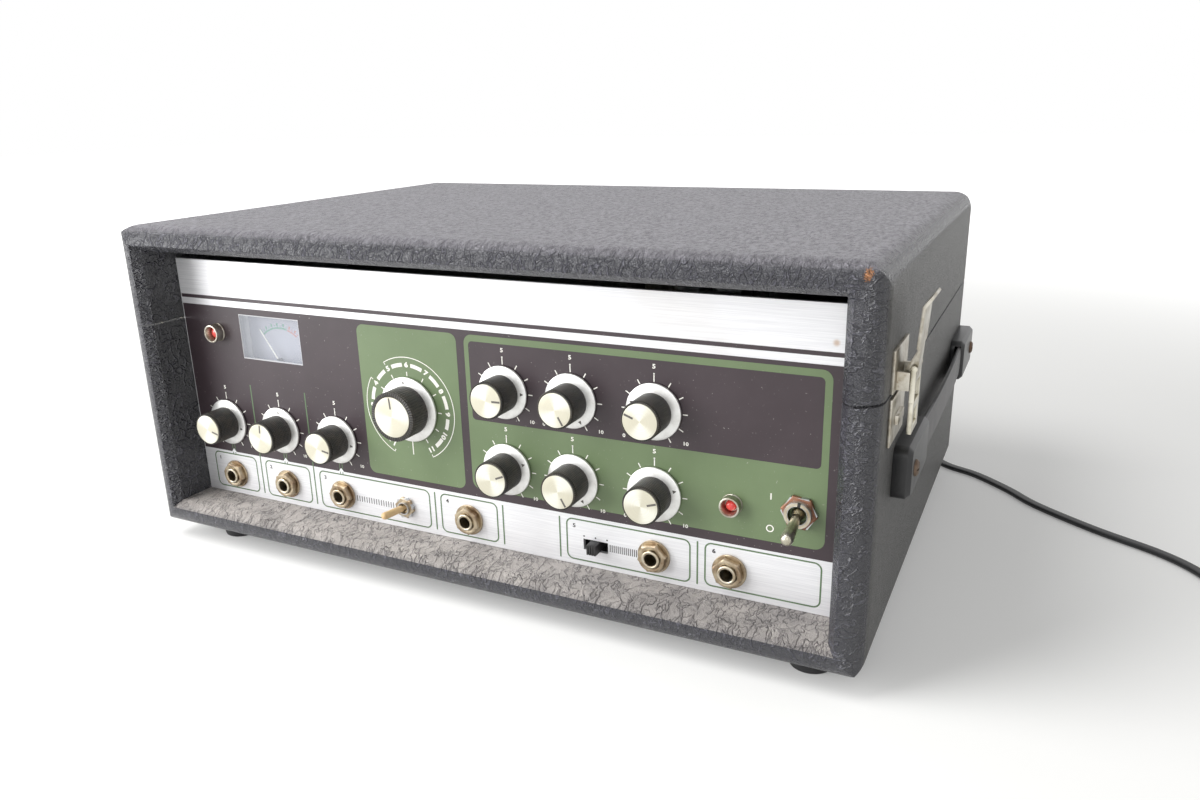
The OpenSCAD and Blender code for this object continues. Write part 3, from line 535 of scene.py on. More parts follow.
def tube(bm, rings):  # closed at both ends
    for low, high in zip(rings, rings[1:]):
        band(bm, low, high)
    bm.faces.new(rings[0])
    bm.faces.new(rings[-1][::-1])


def lathe(bm, profile, place, sides=48, look=0):  # profile: radius and distance along local Z, in mm
    rings = []
    for radius, along in profile:
        spots = circle(sides) if radius > 1e-6 else [(0, 0)]
        points = [Vector((radius * mm * c, radius * mm * s, along * mm)) for c, s in spots]
        rings.append([bm.verts.new(place @ point) for point in points])
    for low, high in zip(rings, rings[1:]):
        band(bm, low, high, look)


def block(bm, low, high, place=Matrix.Identity(4), look=0, soft=0.0):  # box from corner to corner, in mm
    made = bmesh.ops.create_cube(bm, size=1.0)["verts"]
    for vert in made:
        local = [((a + b) / 2 + c * (b - a)) * mm for c, a, b in zip(vert.co, low, high)]
        vert.co = place @ Vector(local)
    edges = {edge for vert in made for edge in vert.link_edges}
    faces = {face for vert in made for face in vert.link_faces}
    for face in faces:
        face.material_index = look
    if soft:
        bmesh.ops.bevel(bm, geom=list(edges), offset=soft * mm, segments=2, profile=0.6, affect="EDGES",
                        material=look)


def clockPoint(cx, ch, r, turn):  # degrees, clockwise from straight up
    angle = math.radians(turn)
    return (cx + r * math.sin(angle), ch + r * math.cos(angle))


def arcLine(cx, ch, r, start, end, steps=24):
    return [clockPoint(cx, ch, r, start + (end - start) * k / steps) for k in range(steps + 1)]


def oblong(x0, x1, h0, h1):
    return [(x0, h0), (x0, h1), (x1, h1), (x1, h0)]


def roundBox(x0, x1, h0, h1, r):
    corners = ((x1 - r, h1 - r, 0), (x1 - r, h0 + r, 90), (x0 + r, h0 + r, 180), (x0 + r, h1 - r, 270))
    points = []
    for cx, ch, start in corners:
        points += arcLine(cx, ch, r, start, start + 90, 6)
    return points


def fillLoops(bm, loops, place, look=0):  # first loop outside, the others holes
    edges = []
    for loop in loops:
        verts = [bm.verts.new(place @ Vector((x * mm, h * mm, 0))) for x, h in loop]
        edges += [bm.edges.new((a, b)) for a, b in zip(verts, verts[1:] + verts[:1])]
    made = bmesh.ops.triangle_fill(bm, use_beauty=True, use_dissolve=False, edges=edges,
                                   normal=place.to_3x3() @ Vector((0, 0, 1)))
    for item in made["geom"]:
        if isinstance(item, bmesh.types.BMFace):
            item.material_index = look


def dot(bm, x, h, place, look=0, radius=0.45):
    fillLoops(bm, [arcLine(x, h, radius, 0, 345, 12)], place, look)


def ribbon(bm, line, width, place, look=0, closed=False):  # flat stroke along a line
    count = len(line)
    sides = []
    for k, (x, h) in enumerate(line):
        before = line[k - 1] if k > 0 or closed else line[k]
        after = line[(k + 1) % count] if k < count - 1 or closed else line[k]
        run = Vector((after[0] - before[0], after[1] - before[1]))
        run.normalize()
        across = Vector((-run.y, run.x)) * width / 2
        pair = [Vector(((x + s * across.x) * mm, (h + s * across.y) * mm, 0)) for s in (1, -1)]
        sides.append([bm.verts.new(place @ point) for point in pair])
    pairs = list(zip(sides, sides[1:] + ([sides[0]] if closed else [])))
    for (a, b), (c, d) in pairs:
        bm.faces.new((a, b, d, c)).material_index = look


def spoke(bm, x, h, reach, turn, width, place, look=0):  # stroke from the nearer to the further radius
    ribbon(bm, [clockPoint(x, h, r, turn) for r in reach], width, place, look)


def glyph(bm, text, size, place, look=0, wide=1.2, weight=0.03):  # plain numerals
    curve = bpy.data.curves.new("glyph", "FONT")
    curve.body = text
    curve.size = size * mm
    curve.align_x = "CENTER"
    curve.align_y = "CENTER"
    curve.offset = weight * size * mm
    curve.resolution_u = 3
    holder = bpy.data.objects.new("glyph", curve)
    scene.collection.objects.link(holder)
    mesh = bpy.data.meshes.new_from_object(holder.evaluated_get(bpy.context.evaluated_depsgraph_get()))
    mesh.transform(place @ Matrix.Diagonal((wide, 1, 1, 1)))
    for polygon in mesh.polygons:
        polygon.material_index = look
    bm.from_mesh(mesh)
    bpy.data.objects.remove(holder)
    bpy.data.curves.remove(curve)
    bpy.data.meshes.remove(mesh)


def dress(look, *nodes):  # nodes that keep their shape
    for node in nodes:
        mesh = frame["nodes"][node].data
        mesh.materials.clear()
        mesh.materials.append(finishes[look])


def soften(node, look, slotName, width, steps=2, corner=30.0):  # the node's own form with rounded edges
    bm = bmesh.new()
    bm.from_mesh(frame["nodes"][node].data)
    bmesh.ops.remove_doubles(bm, verts=bm.verts, dist=2e-6)
    bmesh.ops.dissolve_limit(bm, angle_limit=math.radians(0.6), verts=bm.verts, edges=bm.edges)
    bmesh.ops.recalc_face_normals(bm, faces=bm.faces)
    sharp = math.radians(corner)
    edges = [e for e in bm.edges if len(e.link_faces) == 2 and e.calc_face_angle(0.0) > sharp]
    bmesh.ops.bevel(bm, geom=edges, offset=width * mm, segments=steps, profile=0.5, affect="EDGES",
                    clamp_overlap=True)
    for face in bm.faces:
        face.material_index = 0
    body = body_of(frame["nodes"][node])[0]
    piece = newPiece(node + ".soft", bm, [look], body, 50.0, False)
    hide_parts(node)


# The cord in millimetres: a listed route, then a coil of two layers with half a turn between them
cord = {
    "wide": 6.0, "thick": 3.3, "length": 1.998, "groove": 0.22, "sides": 16,
    "route": [[120, 170.5, 43], [120, 178, 43], [121, 188, 39], [125, 199, 29], [132, 207, 17], [142, 210, 7],
              [154, 206, 2.6], [167, 197, 2], [180, 182, 2], [190, 165, 2], [198, 150, 2], [209, 138.5, 2],
              [227, 129, 2], [248, 110, 2], [265, 91, 2], [297, 67, 2], [326, 50, 2], [342, 36, 2],
              [352, 20, 2.2], [357, 6, 2.65], [357.8, 0, 2.65]],
    "coil": (404.0, 0.0), "inner": 23.1, "pitch": 6.6, "turns": 3.5, "between": 0.5,
    "low": 2.65, "rise": 4.0, "perTurn": 36,
    "tail": [(0.6, 10, 0), (0.8, 20, 0), (0.8, 30, 0)],
}


def curveThrough(points, steps):
    line = []
    last = len(points) - 1
    for k in range(last):
        a, b, c, d = (Vector(points[min(max(k + shift, 0), last)]) for shift in (-1, 0, 1, 2))
        for step in range(steps):
            t = step / steps
            slope = (c - a) * t
            bend = (2 * a - 5 * b + 4 * c - d) * t * t
            twist = (3 * b - a - 3 * c + d) * t ** 3
            line.append(0.5 * (2 * b + slope + bend + twist))
    line.append(Vector(points[-1]))
    return line


def cordLine():
    line = curveThrough(cord["route"], 4)[:-1]
    turns, between, inner, pitch = (cord[key] for key in ("turns", "between", "inner", "pitch"))
    outer = inner + pitch * turns
    coilX, coilY = cord["coil"]
    for k in range(int((2 * turns + between) * cord["perTurn"]) + 1):
        t = k / cord["perTurn"]
        if t < turns:
            radius = outer - pitch * t
        else:
            radius = inner + pitch * max(0.0, t - turns - between)
        z = cord["low"] + cord["rise"] * min(1.0, max(0.0, (t - turns) / between))
        angle = math.radians(180 + 360 * t)
        line.append(Vector((coilX + radius * math.cos(angle), coilY + radius * math.sin(angle), z)))
    end = line[-1]
    return line + [end + Vector(step) for step in cord["tail"]]


def makeCord():
    line = cordLine()
    last = len(line) - 1
    bm = bmesh.new()
    rings = []
    for k, at in enumerate(line):
        run = line[min(k + 1, last)] - line[max(k - 1, 0)]
        if k in (0, last):
            run = Vector((0, 1, 0))
        run.normalize()
        across = Vector((run.y, -run.x, 0)).normalized()
        up = across.cross(run)
        ring = []
        for c, s in circle(cord["sides"]):
            waist = 1 - cord["groove"] * (1 - abs(c)) ** 3  # shallow groove between the two cores
            side = squared(c, 0.8) * cord["wide"] / 2
            lift = squared(s, 0.7) * cord["thick"] / 2 * waist
            ring.append(bm.verts.new((at + across * side + up * lift) * mm))
        rings.append(ring)
    tube(bm, rings)
    piece = newPiece("mainsCord", bm, ["cordSheath"], "case", 50.0)
    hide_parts("power_cord", "cord_coil")
    return piece, [point * mm for point in line]


# Band round the coil's turns, in millimetres: radii of its corners outside and inside, and its room
tie = {"width": 9.0, "edge": 0.3, "ease": 0.15, "outside": 1.5, "inside": 0.7,
       "low": 1.6, "high": 8.0, "room": (4.2, 4.4)}


def makeTie():
    bm = bmesh.new()
    coilX, coilY = cord["coil"]
    outside, low, high, half = tie["outside"], tie["low"], tie["high"], tie["width"] / 2
    near = cord["inner"] - tie["room"][0] + outside
    far = cord["inner"] + cord["pitch"] * cord["turns"] + tie["room"][1] - outside
    corners = ((far, high, 0), (far, low, 90), (near, low, 180), (near, high, 270))
    rows = []
    flat = half - tie["edge"]
    for shift, ease in ((-half, tie["ease"]), (-flat, 0), (flat, 0), (half, tie["ease"])):
        row = []
        for radius in (outside - ease, tie["inside"] + ease):
            line = []
            for away, height, start in corners:
                line += arcLine(away, height, radius, start, start + 90, 4)
            row.append([bm.verts.new(Vector((coilX + shift, coilY - away, z)) * mm) for away, z in line])
        rows.append(row)
    for (outerA, innerA), (outerB, innerB) in zip(rows, rows[1:]):
        band(bm, outerA, outerB)
        band(bm, innerA, innerB)
    for outer, inner in (rows[0], rows[-1]):
        band(bm, outer, inner)
    return newPiece("coilTie", bm, ["tieBand"], "case", 40.0)


# The plug in millimetres: along it, half width, half height and how square the section is
plug = {
    "at": (451.0, 30.0, 6.65),
    "sections": [(0, 5, 4, 2.6), (3, 5.2, 4.1, 2.8), (6, 6.4, 4.4, 3.0), (10, 9.2, 4.9, 3.2),
                 (14, 12, 5.4, 3.4), (18, 12.6, 5.6, 3.4), (22, 13.8, 5.9, 3.4), (24, 13.4, 5.9, 3.4),
                 (25.4, 13.4, 5.9, 3.4), (26, 14, 6, 3.4), (28, 13.5, 5.9, 3.4), (29.4, 13.5, 5.9, 3.4),
                 (30, 14, 6, 3.4), (32, 13.6, 5.9, 3.4), (33.4, 13.6, 5.9, 3.4), (34, 14, 6, 3.4),
                 (35.3, 14, 6, 3.4), (36, 13.3, 5.3, 3.0)],
    "blades": (-6.35, 6.35), "bladeHalf": (0.75, 3.1), "bladeAlong": (35, 52.9), "bladeSoft": 0.5,
}


def makePlug():
    at = Vector(plug["at"])
    bm = bmesh.new()
    rings = []
    for along, wide, tall, power in plug["sections"]:
        ring = []
        for c, s in circle(32):
            offset = Vector((squared(c, 2 / power) * wide, along, squared(s, 2 / power) * tall))
            ring.append(bm.verts.new((at + offset) * mm))
        rings.append(ring)
    tube(bm, rings)
    thin, tall = plug["bladeHalf"]
    start, end = plug["bladeAlong"]
    for x in plug["blades"]:
        low = at + Vector((x - thin, start, -tall))
        high = at + Vector((x + thin, end, tall))
        block(bm, low, high, look=1, soft=plug["bladeSoft"])
    piece = newPiece("mainsPlug", bm, ["cordSheath", "brass"], "case", 40.0)
    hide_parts("plug")
    return piece


relief = {"at": (120, 145.5, 43), "ribs": 7, "first": 3.2, "pitch": 3.0, "radius": 5.5, "taper": 1.3 / 22}


def makeRelief():  # ribbed sleeve where the cord leaves the case
    bm = bmesh.new()
    place = Matrix.Translation(Vector(relief["at"]) * mm) @ Matrix.Rotation(math.radians(-90), 4, "X")
    profile = [(0, -15), (4.9, -15), (4.9, 0), (7.6, 0), (8, 0.4), (8, 1.6), (7.4, 2), (5.6, 2.2)]
    for k in range(relief["ribs"]):
        start = relief["first"] + k * relief["pitch"]
        rib = relief["radius"] - relief["taper"] * (start - 3)
        waist = rib - 0.7
        profile += [(waist, start), (waist, start + 0.8), (rib, start + 1.1), (rib, start + 2.7)]
    profile += [(4.0, 24.4), (3.7, 25), (0, 25)]
    lathe(bm, profile, place, 32)
    piece = newPiece("cordRelief", bm, ["rubber"], "case", 40.0)
    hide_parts("strain_relief")
    return piece


cordPiece, cordPath = makeCord()
tiePiece = makeTie()
plugPiece = makePlug()
reliefPiece = makeRelief()
print("cord made")

shellEdge = {"width": 2.8, "steps": 4, "corner": 40.0}

for shell in ("lower_case", "lid"):
    soften(shell, "vinyl", "vinyl", **shellEdge)
print("case covered")

# In millimetres. Boxes are left, right, low and high, and tall lines are across, low and high.
# Hatching is left, right, the count of its strokes, their middle and their length.
panelPrint = {
    "looks": ["darkInk", "greenInk", "lineInk", "panelMetal", "blackInk"],
    "lift": 0.03, "layer": 0.035,  # each layer of ink stands a little out of the one below it
    "edge": 191.2, "dark": (42.9, 131.3), "stripe": (134.9, 136.9),
    "modeBox": (-64.6, -2.2, 46.1, 129.0), "mainBox": (2.4, 183.9, 47.6, 129.2),
    "innerBox": (5.0, 180.7, 85.3, 125.9),
    "lineBoxes": [(-183.7, -150.6, 19.6, 41.2), (-143.1, -109.7, 19.5, 41.1), (-102.1, -26.3, 19.3, 41.0),
                  (-18.9, 16.1, 19.1, 40.8), (56.7, 121.8, 19.0, 40.7), (129.3, 183.2, 19.6, 41.2)],
    "tallLines": [(-146.8, 19.6, 86.5), (-106.2, 19.6, 86.5), (-22.7, 19.2, 41.0), (19.6, 18.7, 40.8),
                  (52.7, 18.5, 40.8), (125.5, 18.9, 41.1)],
    "inputs": (-167.2, -126.6, -85.6), "window": (-148.2, -104.8, 102.5, 127.5),
    "hatch": [(-76.0, -51.0, 16, 28.4, 3.4), (80.4, 94.4, 14, 28.4, 3.8)],
    "slideDots": (66.2, 72.5, 78.8), "slideDotHeight": 32.4,
}


def printPanel():
    bm = bmesh.new()
    dark, green, line, bare, black = range(5)
    edge = panelPrint["edge"]
    base, middle, top = (panelMatrix(0, 0, panelPrint["lift"] + panelPrint["layer"] * k) for k in range(3))
    fillLoops(bm, [oblong(-edge, edge, *panelPrint["dark"]), oblong(*panelPrint["window"])], base, dark)
    fillLoops(bm, [oblong(-edge, edge, *panelPrint["stripe"])], base, dark)
    fillLoops(bm, [roundBox(*panelPrint["modeBox"], 4.2)], middle, green)
    fillLoops(bm, [roundBox(*panelPrint["mainBox"], 4.6)], middle, green)
    fillLoops(bm, [roundBox(*panelPrint["innerBox"], 2.2)], top, dark)
    for box in panelPrint["lineBoxes"]:
        ribbon(bm, roundBox(*box, 3.2), 0.75, middle, line, True)
    for x, h0, h1 in panelPrint["tallLines"]:
        ribbon(bm, [(x, h0), (x, h1)], 0.8, middle, line)
    for x in panelPrint["inputs"]:
        for side in (-0.9, 0.9):
            ribbon(bm, [(x + side, 41.2), (x + side, 50.0)], 0.5, middle, line)
        fillLoops(bm, [[(x - 2.0, 42.7), (x, 45.0), (x + 2.0, 42.7)]], top, bare)
    for x0, x1, count, h, tall in panelPrint["hatch"]:
        for k in range(count):
            x = x0 + (x1 - x0) * k / (count - 1)
            ribbon(bm, [(x, h - tall / 2), (x, h + tall / 2)], 0.45, middle, black)
    for x in panelPrint["slideDots"]:
        dot(bm, x, panelPrint["slideDotHeight"], middle, black)
    for number, (x, _, _, h) in enumerate(panelPrint["lineBoxes"], 1):
        glyph(bm, str(number), 2.9, panelMatrix(x + 4.2, h - 3.6, 0.1), black)
    newPiece("panelPrint", bm, panelPrint["looks"], "case", 35.0, False)


# Each knob's place across and up the panel, and its turn; radii of the print round them
dials = {
    "small": {"mic1": (-167.2, 62.0, 105), "mic2": (-126.6, 62.0, 5), "instrument": (-85.6, 62.0, 100),
              "bass": (24.2, 101.9, 88), "treble": (61.5, 101.9, 150), "reverb": (104.1, 101.9, -70),
              "repeat": (24.2, 61.4, 67), "intensity": (61.5, 61.4, 150), "echo": (104.1, 61.4, 72)},
    "mode": (-34.1, 85.9, -5), "lift": 0.15,
    "tick": (13.9, 16.3), "topTick": (13.9, 17.5), "dot": 17.6, "step": 30,
    "numbers": [("0", -132, 20.6, 2.4), ("5", 0, 21.0, 2.9), ("10", 132, 20.6, 2.4)],  # turn, radius, size
    "modeTick": (17.9, 20.2), "endTick": (17.9, 25.3), "modeNumbers": 23.8, "modeArc": 27.9,
    "modeArcs": ((-154, -58), (-31, 153)), "arcEnd": (26.4, 28.1),
    "onBar": [(159.5, 67.9), (159.5, 70.9)], "offRing": (159.5, 54.0, 1.5),
}


def printSmallDial(bm, flat, x, h):
    for k in range(-5, 6):
        spoke(bm, x, h, dials["topTick" if k == 0 else "tick"], dials["step"] * k, 0.55, flat)
    dot(bm, x, h + dials["dot"], flat)
    for text, turn, radius, size in dials["numbers"]:
        glyph(bm, text, size, panelMatrix(*clockPoint(x, h, radius, turn), dials["lift"]))


def printModeDial(bm, flat, x, h):
    radius = dials["modeNumbers"]
    for k in range(12):
        turn = dials["step"] * (k - 5)
        spoke(bm, x, h, dials["endTick" if k == 11 else "modeTick"], turn, 0.6, flat)
        if k < 11:
            place = panelMatrix(*clockPoint(x, h, radius, turn), dials["lift"], turn)
            glyph(bm, str(k + 1), 3.6, place, 0, 1.25, 0.05)
        if k < 10:  # the numerals of two figures leave less room
            half, middle = (8.6, turn + 15) if k < 8 else (7.2, turn + 13.6)
            ribbon(bm, arcLine(x, h, radius, middle - half, middle + half, 8), 2.1, flat)
    for start, end in dials["modeArcs"]:
        ribbon(bm, arcLine(x, h, dials["modeArc"], start, end, 48), 0.45, flat)
        for turn in (start, end):
            spoke(bm, x, h, dials["arcEnd"], turn, 0.45, flat)


def printDials():
    bm = bmesh.new()
    flat = panelMatrix(0, 0, dials["lift"])
    for x, h, _ in dials["small"].values():
        printSmallDial(bm, flat, x, h)
    printModeDial(bm, flat, *dials["mode"][:2])
    ribbon(bm, dials["onBar"], 0.6, flat)
    ribbon(bm, arcLine(*dials["offRing"], 0, 348, 30), 0.55, flat, 0, True)
    newPiece("dialPrint", bm, ["whiteInk"], "case", 35.0, False)


dress("panelMetal", "front_panel")
printPanel()
printDials()
print("panel printed")

# Radii of a knob's skirt, grip and cap, and how far its cap stands out
knobForm = {
    "small": {"skirt": 13.6, "grip": 9.3, "cap": 8.45, "front": 16.8},
    "mode": {"skirt": 17.5, "grip": 13.1, "cap": 10.8, "front": 15.3},
}


def makeKnob(name, x, h, turn, form):
    skirt, grip, cap, front = (form[key] for key in ("skirt", "grip", "cap", "front"))
    still = Matrix.Identity(4)
    metal = bmesh.new()
    lathe(metal, [(grip - 1, 0.5), (skirt - 0.4, 0.5), (skirt - 0.1, 0.7), (skirt, 1.0), (skirt, 1.4),
                  (skirt - 0.15, 1.75), (skirt - 0.6, 2.0), (grip + 1.4, 2.25), (grip + 0.3, 2.5),
                  (grip - 0.6, 2.5)], still, 96, 0)
    lathe(metal, [(cap - 0.05, front - 0.6), (cap - 0.08, front - 0.15), (cap - 0.15, front - 0.03),
                  (cap - 0.35, front), (cap * 0.6, front), (cap * 0.3, front), (0, front)], still, 96, 1)
    lathe(metal, [(0, -13.9), (2.95, -13.9), (2.95, 0.6)], still, 24, 0)  # shaft
    wedge = grip + 1.9
    arrow = [(-0.9, wedge - 0.8), (0, wedge + 1.1), (0.9, wedge - 0.8)]
    fillLoops(metal, [arrow], Matrix.Translation((0, 0, 2.3 * mm)), 2)
    ribbon(metal, [(0, cap * 0.4), (0, cap * 0.95)], 1.0, Matrix.Translation((0, 0, (front + 0.04) * mm)), 2)
    top = newPiece(name + ".metal", metal, ["skirt", "cap", "mark"], name + "_knob_body", 30.0)
    hold = bmesh.new()
    lathe(hold, [(grip - 0.8, 2.2), (grip, 2.3), (grip, 2.9), (grip, front - 1.9), (grip - 0.35, front - 1.7),
                 (grip - 0.35, front - 1.3), (grip, front - 1.1), (grip, front - 0.55),
                 (grip - 0.15, front - 0.3), (grip - 0.4, front - 0.22), (cap + 0.3, front - 0.25),
                 (cap + 0.1, front - 0.5), (cap - 0.5, front - 0.6)], still, 96, 0)
    side = newPiece(name + ".grip", hold, ["knurl"], name + "_knob_body", 30.0)
    for piece in (top, side):
        piece.matrix_world = panelMatrix(x, h, 0.0, turn)
        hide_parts(name + "_knob")


for knobName, knobPlace in dials["small"].items():
    makeKnob(knobName, *knobPlace, knobForm["small"])
makeKnob("mode", *dials["mode"], knobForm["mode"])
print("knobs made")

# The jacks across and up the panel, and how far each nut is turned
jackForm = {"x": (-167.2, -126.6, -85.8, -1.3, 103.6, 141.2), "h": 29.0, "turns": (12, 38, 5, 22, 47, 15),
            "threads": 5, "pitch": 0.7, "root": 4.52, "crest": 4.68}


def makeJacks():
    nuts = bmesh.new()
    bushes = bmesh.new()
    root, crest = jackForm["root"], jackForm["crest"]
    thread = [(root, 0.4)]
    for k in range(jackForm["threads"]):
        start = 1.2 + jackForm["pitch"] * k
        thread += [(crest, start), (root, start + jackForm["pitch"] / 2)]
    thread += [(4.66, 4.5), (4.5, 5.0), (4.2, 5.15), (3.6, 5.15), (3.2, 4.9), (3.2, 4.2)]
    for x, turn in zip(jackForm["x"], jackForm["turns"]):
        place = panelMatrix(x, jackForm["h"], 0, turn)
        lathe(nuts, [(4.7, 0.05), (8.1, 0.05), (8.3, 0.25), (8.3, 0.8), (8.1, 1.0), (4.7, 1.0)], place, 48)
        lathe(nuts, [(7.3, 1.0), (7.5, 1.2), (7.5, 3.5), (6.9, 4.0), (5.4, 4.0)], place, 6)
        lathe(nuts, [(6.6, 4.0), (5.6, 4.15), (4.95, 3.9), (4.6, 3.4), (4.6, 1.0)], place, 48)
        lathe(bushes, thread, place, 40)
    nutPiece = newPiece("jackNuts", nuts, ["nutMetal"], "case", 32.0)
    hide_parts("jack_nuts")
    newPiece("jackBushes", bushes, ["bushMetal"], "case", 32.0, False)
    dress("bushMetal", "jacks")


# Each switch's place on the panel, how far its nut is turned and how far its lever leans, in degrees
powerSwitch = {"at": (172.5, 64.3), "nutTurn": 8, "lean": 12.6, "pivot": 2.0, "threads": 4, "pitch": 0.6}
inputSwitch = {"at": (-42.4, 29.0), "nutTurn": 12, "lean": -12.5}
outputSwitch = {"at": (72.5, 28.0), "half": (2.5, 2.6), "ribs": 4, "ribPitch": 1.3, "ribWidth": 0.9}


def makePowerSwitch():
    place = panelMatrix(*powerSwitch["at"], 0, powerSwitch["nutTurn"])
    bm = bmesh.new()
    nut = [(6.1, 0.05), (8.0, 0.05), (8.25, 0.3), (8.25, 1.8), (7.7, 2.15), (6.2, 2.15)]
    lathe(bm, nut, place, 6, 0)
    bush = [(6.05, 0.1)]
    for k in range(powerSwitch["threads"]):
        start = 2.3 + powerSwitch["pitch"] * k
        bush += [(6.0, start), (5.75, start + powerSwitch["pitch"] / 2)]
    bush += [(6.0, 4.6), (5.8, 5.12), (4.7, 5.12), (4.28, 4.8), (4.25, 2.0)]
    lathe(bm, bush, place, 48, 1)
    block(bm, (-0.7, 4.4, 4.4), (0.7, 6.02, 5.2), place, 2)  # keyway
    newPiece("powerBush", bm, ["rustyMetal", "bushMetal", "blackPlastic"], "case", 32.0)
    dress("steel", "power_switch")
    lever = bmesh.new()
    lean = Matrix.Rotation(math.radians(powerSwitch["lean"]), 4, "X")
    lathe(lever, [(0, -3.0), (2.2, -2.2), (3.1, 0), (2.7, 1.5), (2.0, 2.6), (1.95, 3.2), (2.3, 9.0),
                  (2.75, 16.5), (2.85, 18.5), (2.7, 19.6), (2.2, 20.5), (1.4, 21.1), (0.6, 21.3), (0, 21.3)],
          panelMatrix(*powerSwitch["at"], powerSwitch["pivot"]) @ lean, 40)
    piece = newPiece("powerLever", lever, ["chrome"], "power_lever_body", 40.0)
    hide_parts("power_lever")


def makeInputSwitch():
    place = panelMatrix(*inputSwitch["at"], 0, inputSwitch["nutTurn"])
    bm = bmesh.new()
    lathe(bm, [(3.7, 0.05), (5.9, 0.05), (6.1, 0.25), (6.1, 1.7), (5.7, 2.05), (3.7, 2.05)], place, 6, 0)
    lathe(bm, [(3.65, 0.1), (3.6, 2.1), (3.4, 2.3), (3.6, 2.5), (3.45, 2.95), (3.1, 3.0), (2.95, 2.7),
               (2.95, 0.1), (0, 0.1)], place, 40, 1)
    newPiece("inputNut", bm, ["nutMetal", "bushMetal"], "case", 32.0)
    dress("steel", "input_switch")
    toggle = bmesh.new()
    lean = Matrix.Rotation(math.radians(inputSwitch["lean"]), 4, "Y")
    lathe(toggle, [(0, -1.5), (1.6, -0.6), (1.3, 0.6), (1.2, 3.0), (1.75, 3.1), (1.85, 4.0), (1.95, 9.0),
                   (2.0, 14.2), (1.9, 15.3), (1.4, 16.1), (0.7, 16.4), (0, 16.4)],
          panelMatrix(*inputSwitch["at"]) @ lean, 32)
    piece = newPiece("inputToggle", toggle, ["cream"], "input_lever_body", 40.0)
    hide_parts("input_lever")


def makeOutputSwitch():
    bm = bmesh.new()
    place = panelMatrix(*outputSwitch["at"])
    wide, tall = outputSwitch["half"]
    block(bm, (-wide, -tall, -6.4), (wide, tall, 5.1), place, 0, 0.25)
    for k in range(outputSwitch["ribs"]):
        left = 0.1 - wide + outputSwitch["ribPitch"] * k
        block(bm, (left, 0.1 - tall, 4.9), (left + outputSwitch["ribWidth"], tall - 0.1, 5.6), place, 0, 0.15)
    piece = newPiece("slideKnob", bm, ["blackPlastic"], "output_slider_body", 32.0)
    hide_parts("output_slider")
    dress("blackPlastic", "output_switch")


# Each lamp's place on the panel, the radius and reach of its bezel, and the radius of its lens
lampForm = ((-166.0, 116.0, 5.2, 5.8, 3.2), (141.8, 62.6, 4.9, 5.0, 2.6))


def makeLamps():
    bm = bmesh.new()
    for x, h, bezel, out, lens in lampForm:
        place = panelMatrix(x, h)
        wall = bezel - 0.1
        lathe(bm, [(bezel + 0.1, 0.05), (bezel + 0.1, 0.7), (wall, 0.9), (wall, out - 0.6),
                   (bezel - 0.2, out - 0.15), (bezel - 0.5, out), (bezel - 0.9, out - 0.05),
                   (bezel - 1.2, out - 0.6), (lens + 0.5, 1.4), (lens + 0.3, 0.9), (0, 0.9)], place, 48, 0)
        lathe(bm, [(lens, 0.4), (lens, 1.2), (lens * 0.94, 2.0), (lens * 0.72, 2.8), (lens * 0.4, 3.25),
                   (0, 3.4)], place, 32, 1)
    piece = newPiece("lampBezels", bm, ["nickel", "lens"], "case", 35.0)
    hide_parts("panel_lamps")


# The meter's needle turns about its pivot behind the panel; its arc is green, then red
meter = {
    "pivot": (-126.5, 100.4), "face": (-149.4, -103.6, 97.2, 128.8), "faceDepth": -7.8, "printDepth": -7.7,
    "arc": 19.4, "green": (-40, 16), "red": (17, 38), "ticks": 14, "step": 6, "tick": 20.3,
    "needleDepth": -6.0, "rest": -34, "needle": 22.0,
}


def makeMeter():
    x, h = meter["pivot"]
    dial = bmesh.new()
    fillLoops(dial, [roundBox(*meter["face"], 1.0)], panelMatrix(0, 0, meter["faceDepth"]), 0)
    flat = panelMatrix(0, 0, meter["printDepth"])
    ribbon(dial, arcLine(x, h, meter["arc"], *meter["green"], 30), 0.9, flat, 1)
    ribbon(dial, arcLine(x, h, meter["arc"], *meter["red"], 14), 0.9, flat, 2)
    for k in range(meter["ticks"]):
        turn = meter["green"][0] + k * meter["step"]
        end, width = (22.2, 1.1) if k % 2 == 0 else (21.4, 0.5)
        look = 1 if turn < meter["green"][1] else 2
        spoke(dial, x, h, (meter["tick"], end), turn, width, flat, look)
    newPiece("meterDial", dial, ["meterFace", "meterGreen", "meterRed"], "case", 35.0, False)
    trim = bmesh.new()
    ribbon(trim, oblong(*panelPrint["window"]), 0.5, panelMatrix(0, 0, 0.06), 0, True)
    newPiece("meterTrim", trim, ["meterBody"], "case", 35.0, False)
    pointer = bmesh.new()
    hub = panelMatrix(x, h, meter["needleDepth"])
    lathe(pointer, [(0.9, 0.0), (2.6, 0.0), (2.6, 1.3), (2.3, 1.6), (0.9, 1.6)], hub, 32, 0)
    turned = panelMatrix(x, h, meter["needleDepth"], meter["rest"])
    block(pointer, (-0.38, 2.0, 0.6), (0.38, 12.0, 1.1), turned, 1)
    block(pointer, (-0.3, 12.0, 0.65), (0.3, meter["needle"], 1.05), turned, 1)
    looks = ["blackPlastic", "needle"]
    piece = newPiece("meterPointer", pointer, looks, "meter_needle_body", 35.0)
    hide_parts("meter_needle")
    dress("meterBody", "meter_case")
    dress("glass", "meter_window")


makeJacks()
makePowerSwitch()
makeInputSwitch()
makeOutputSwitch()
makeLamps()
makeMeter()
print("panel parts made")

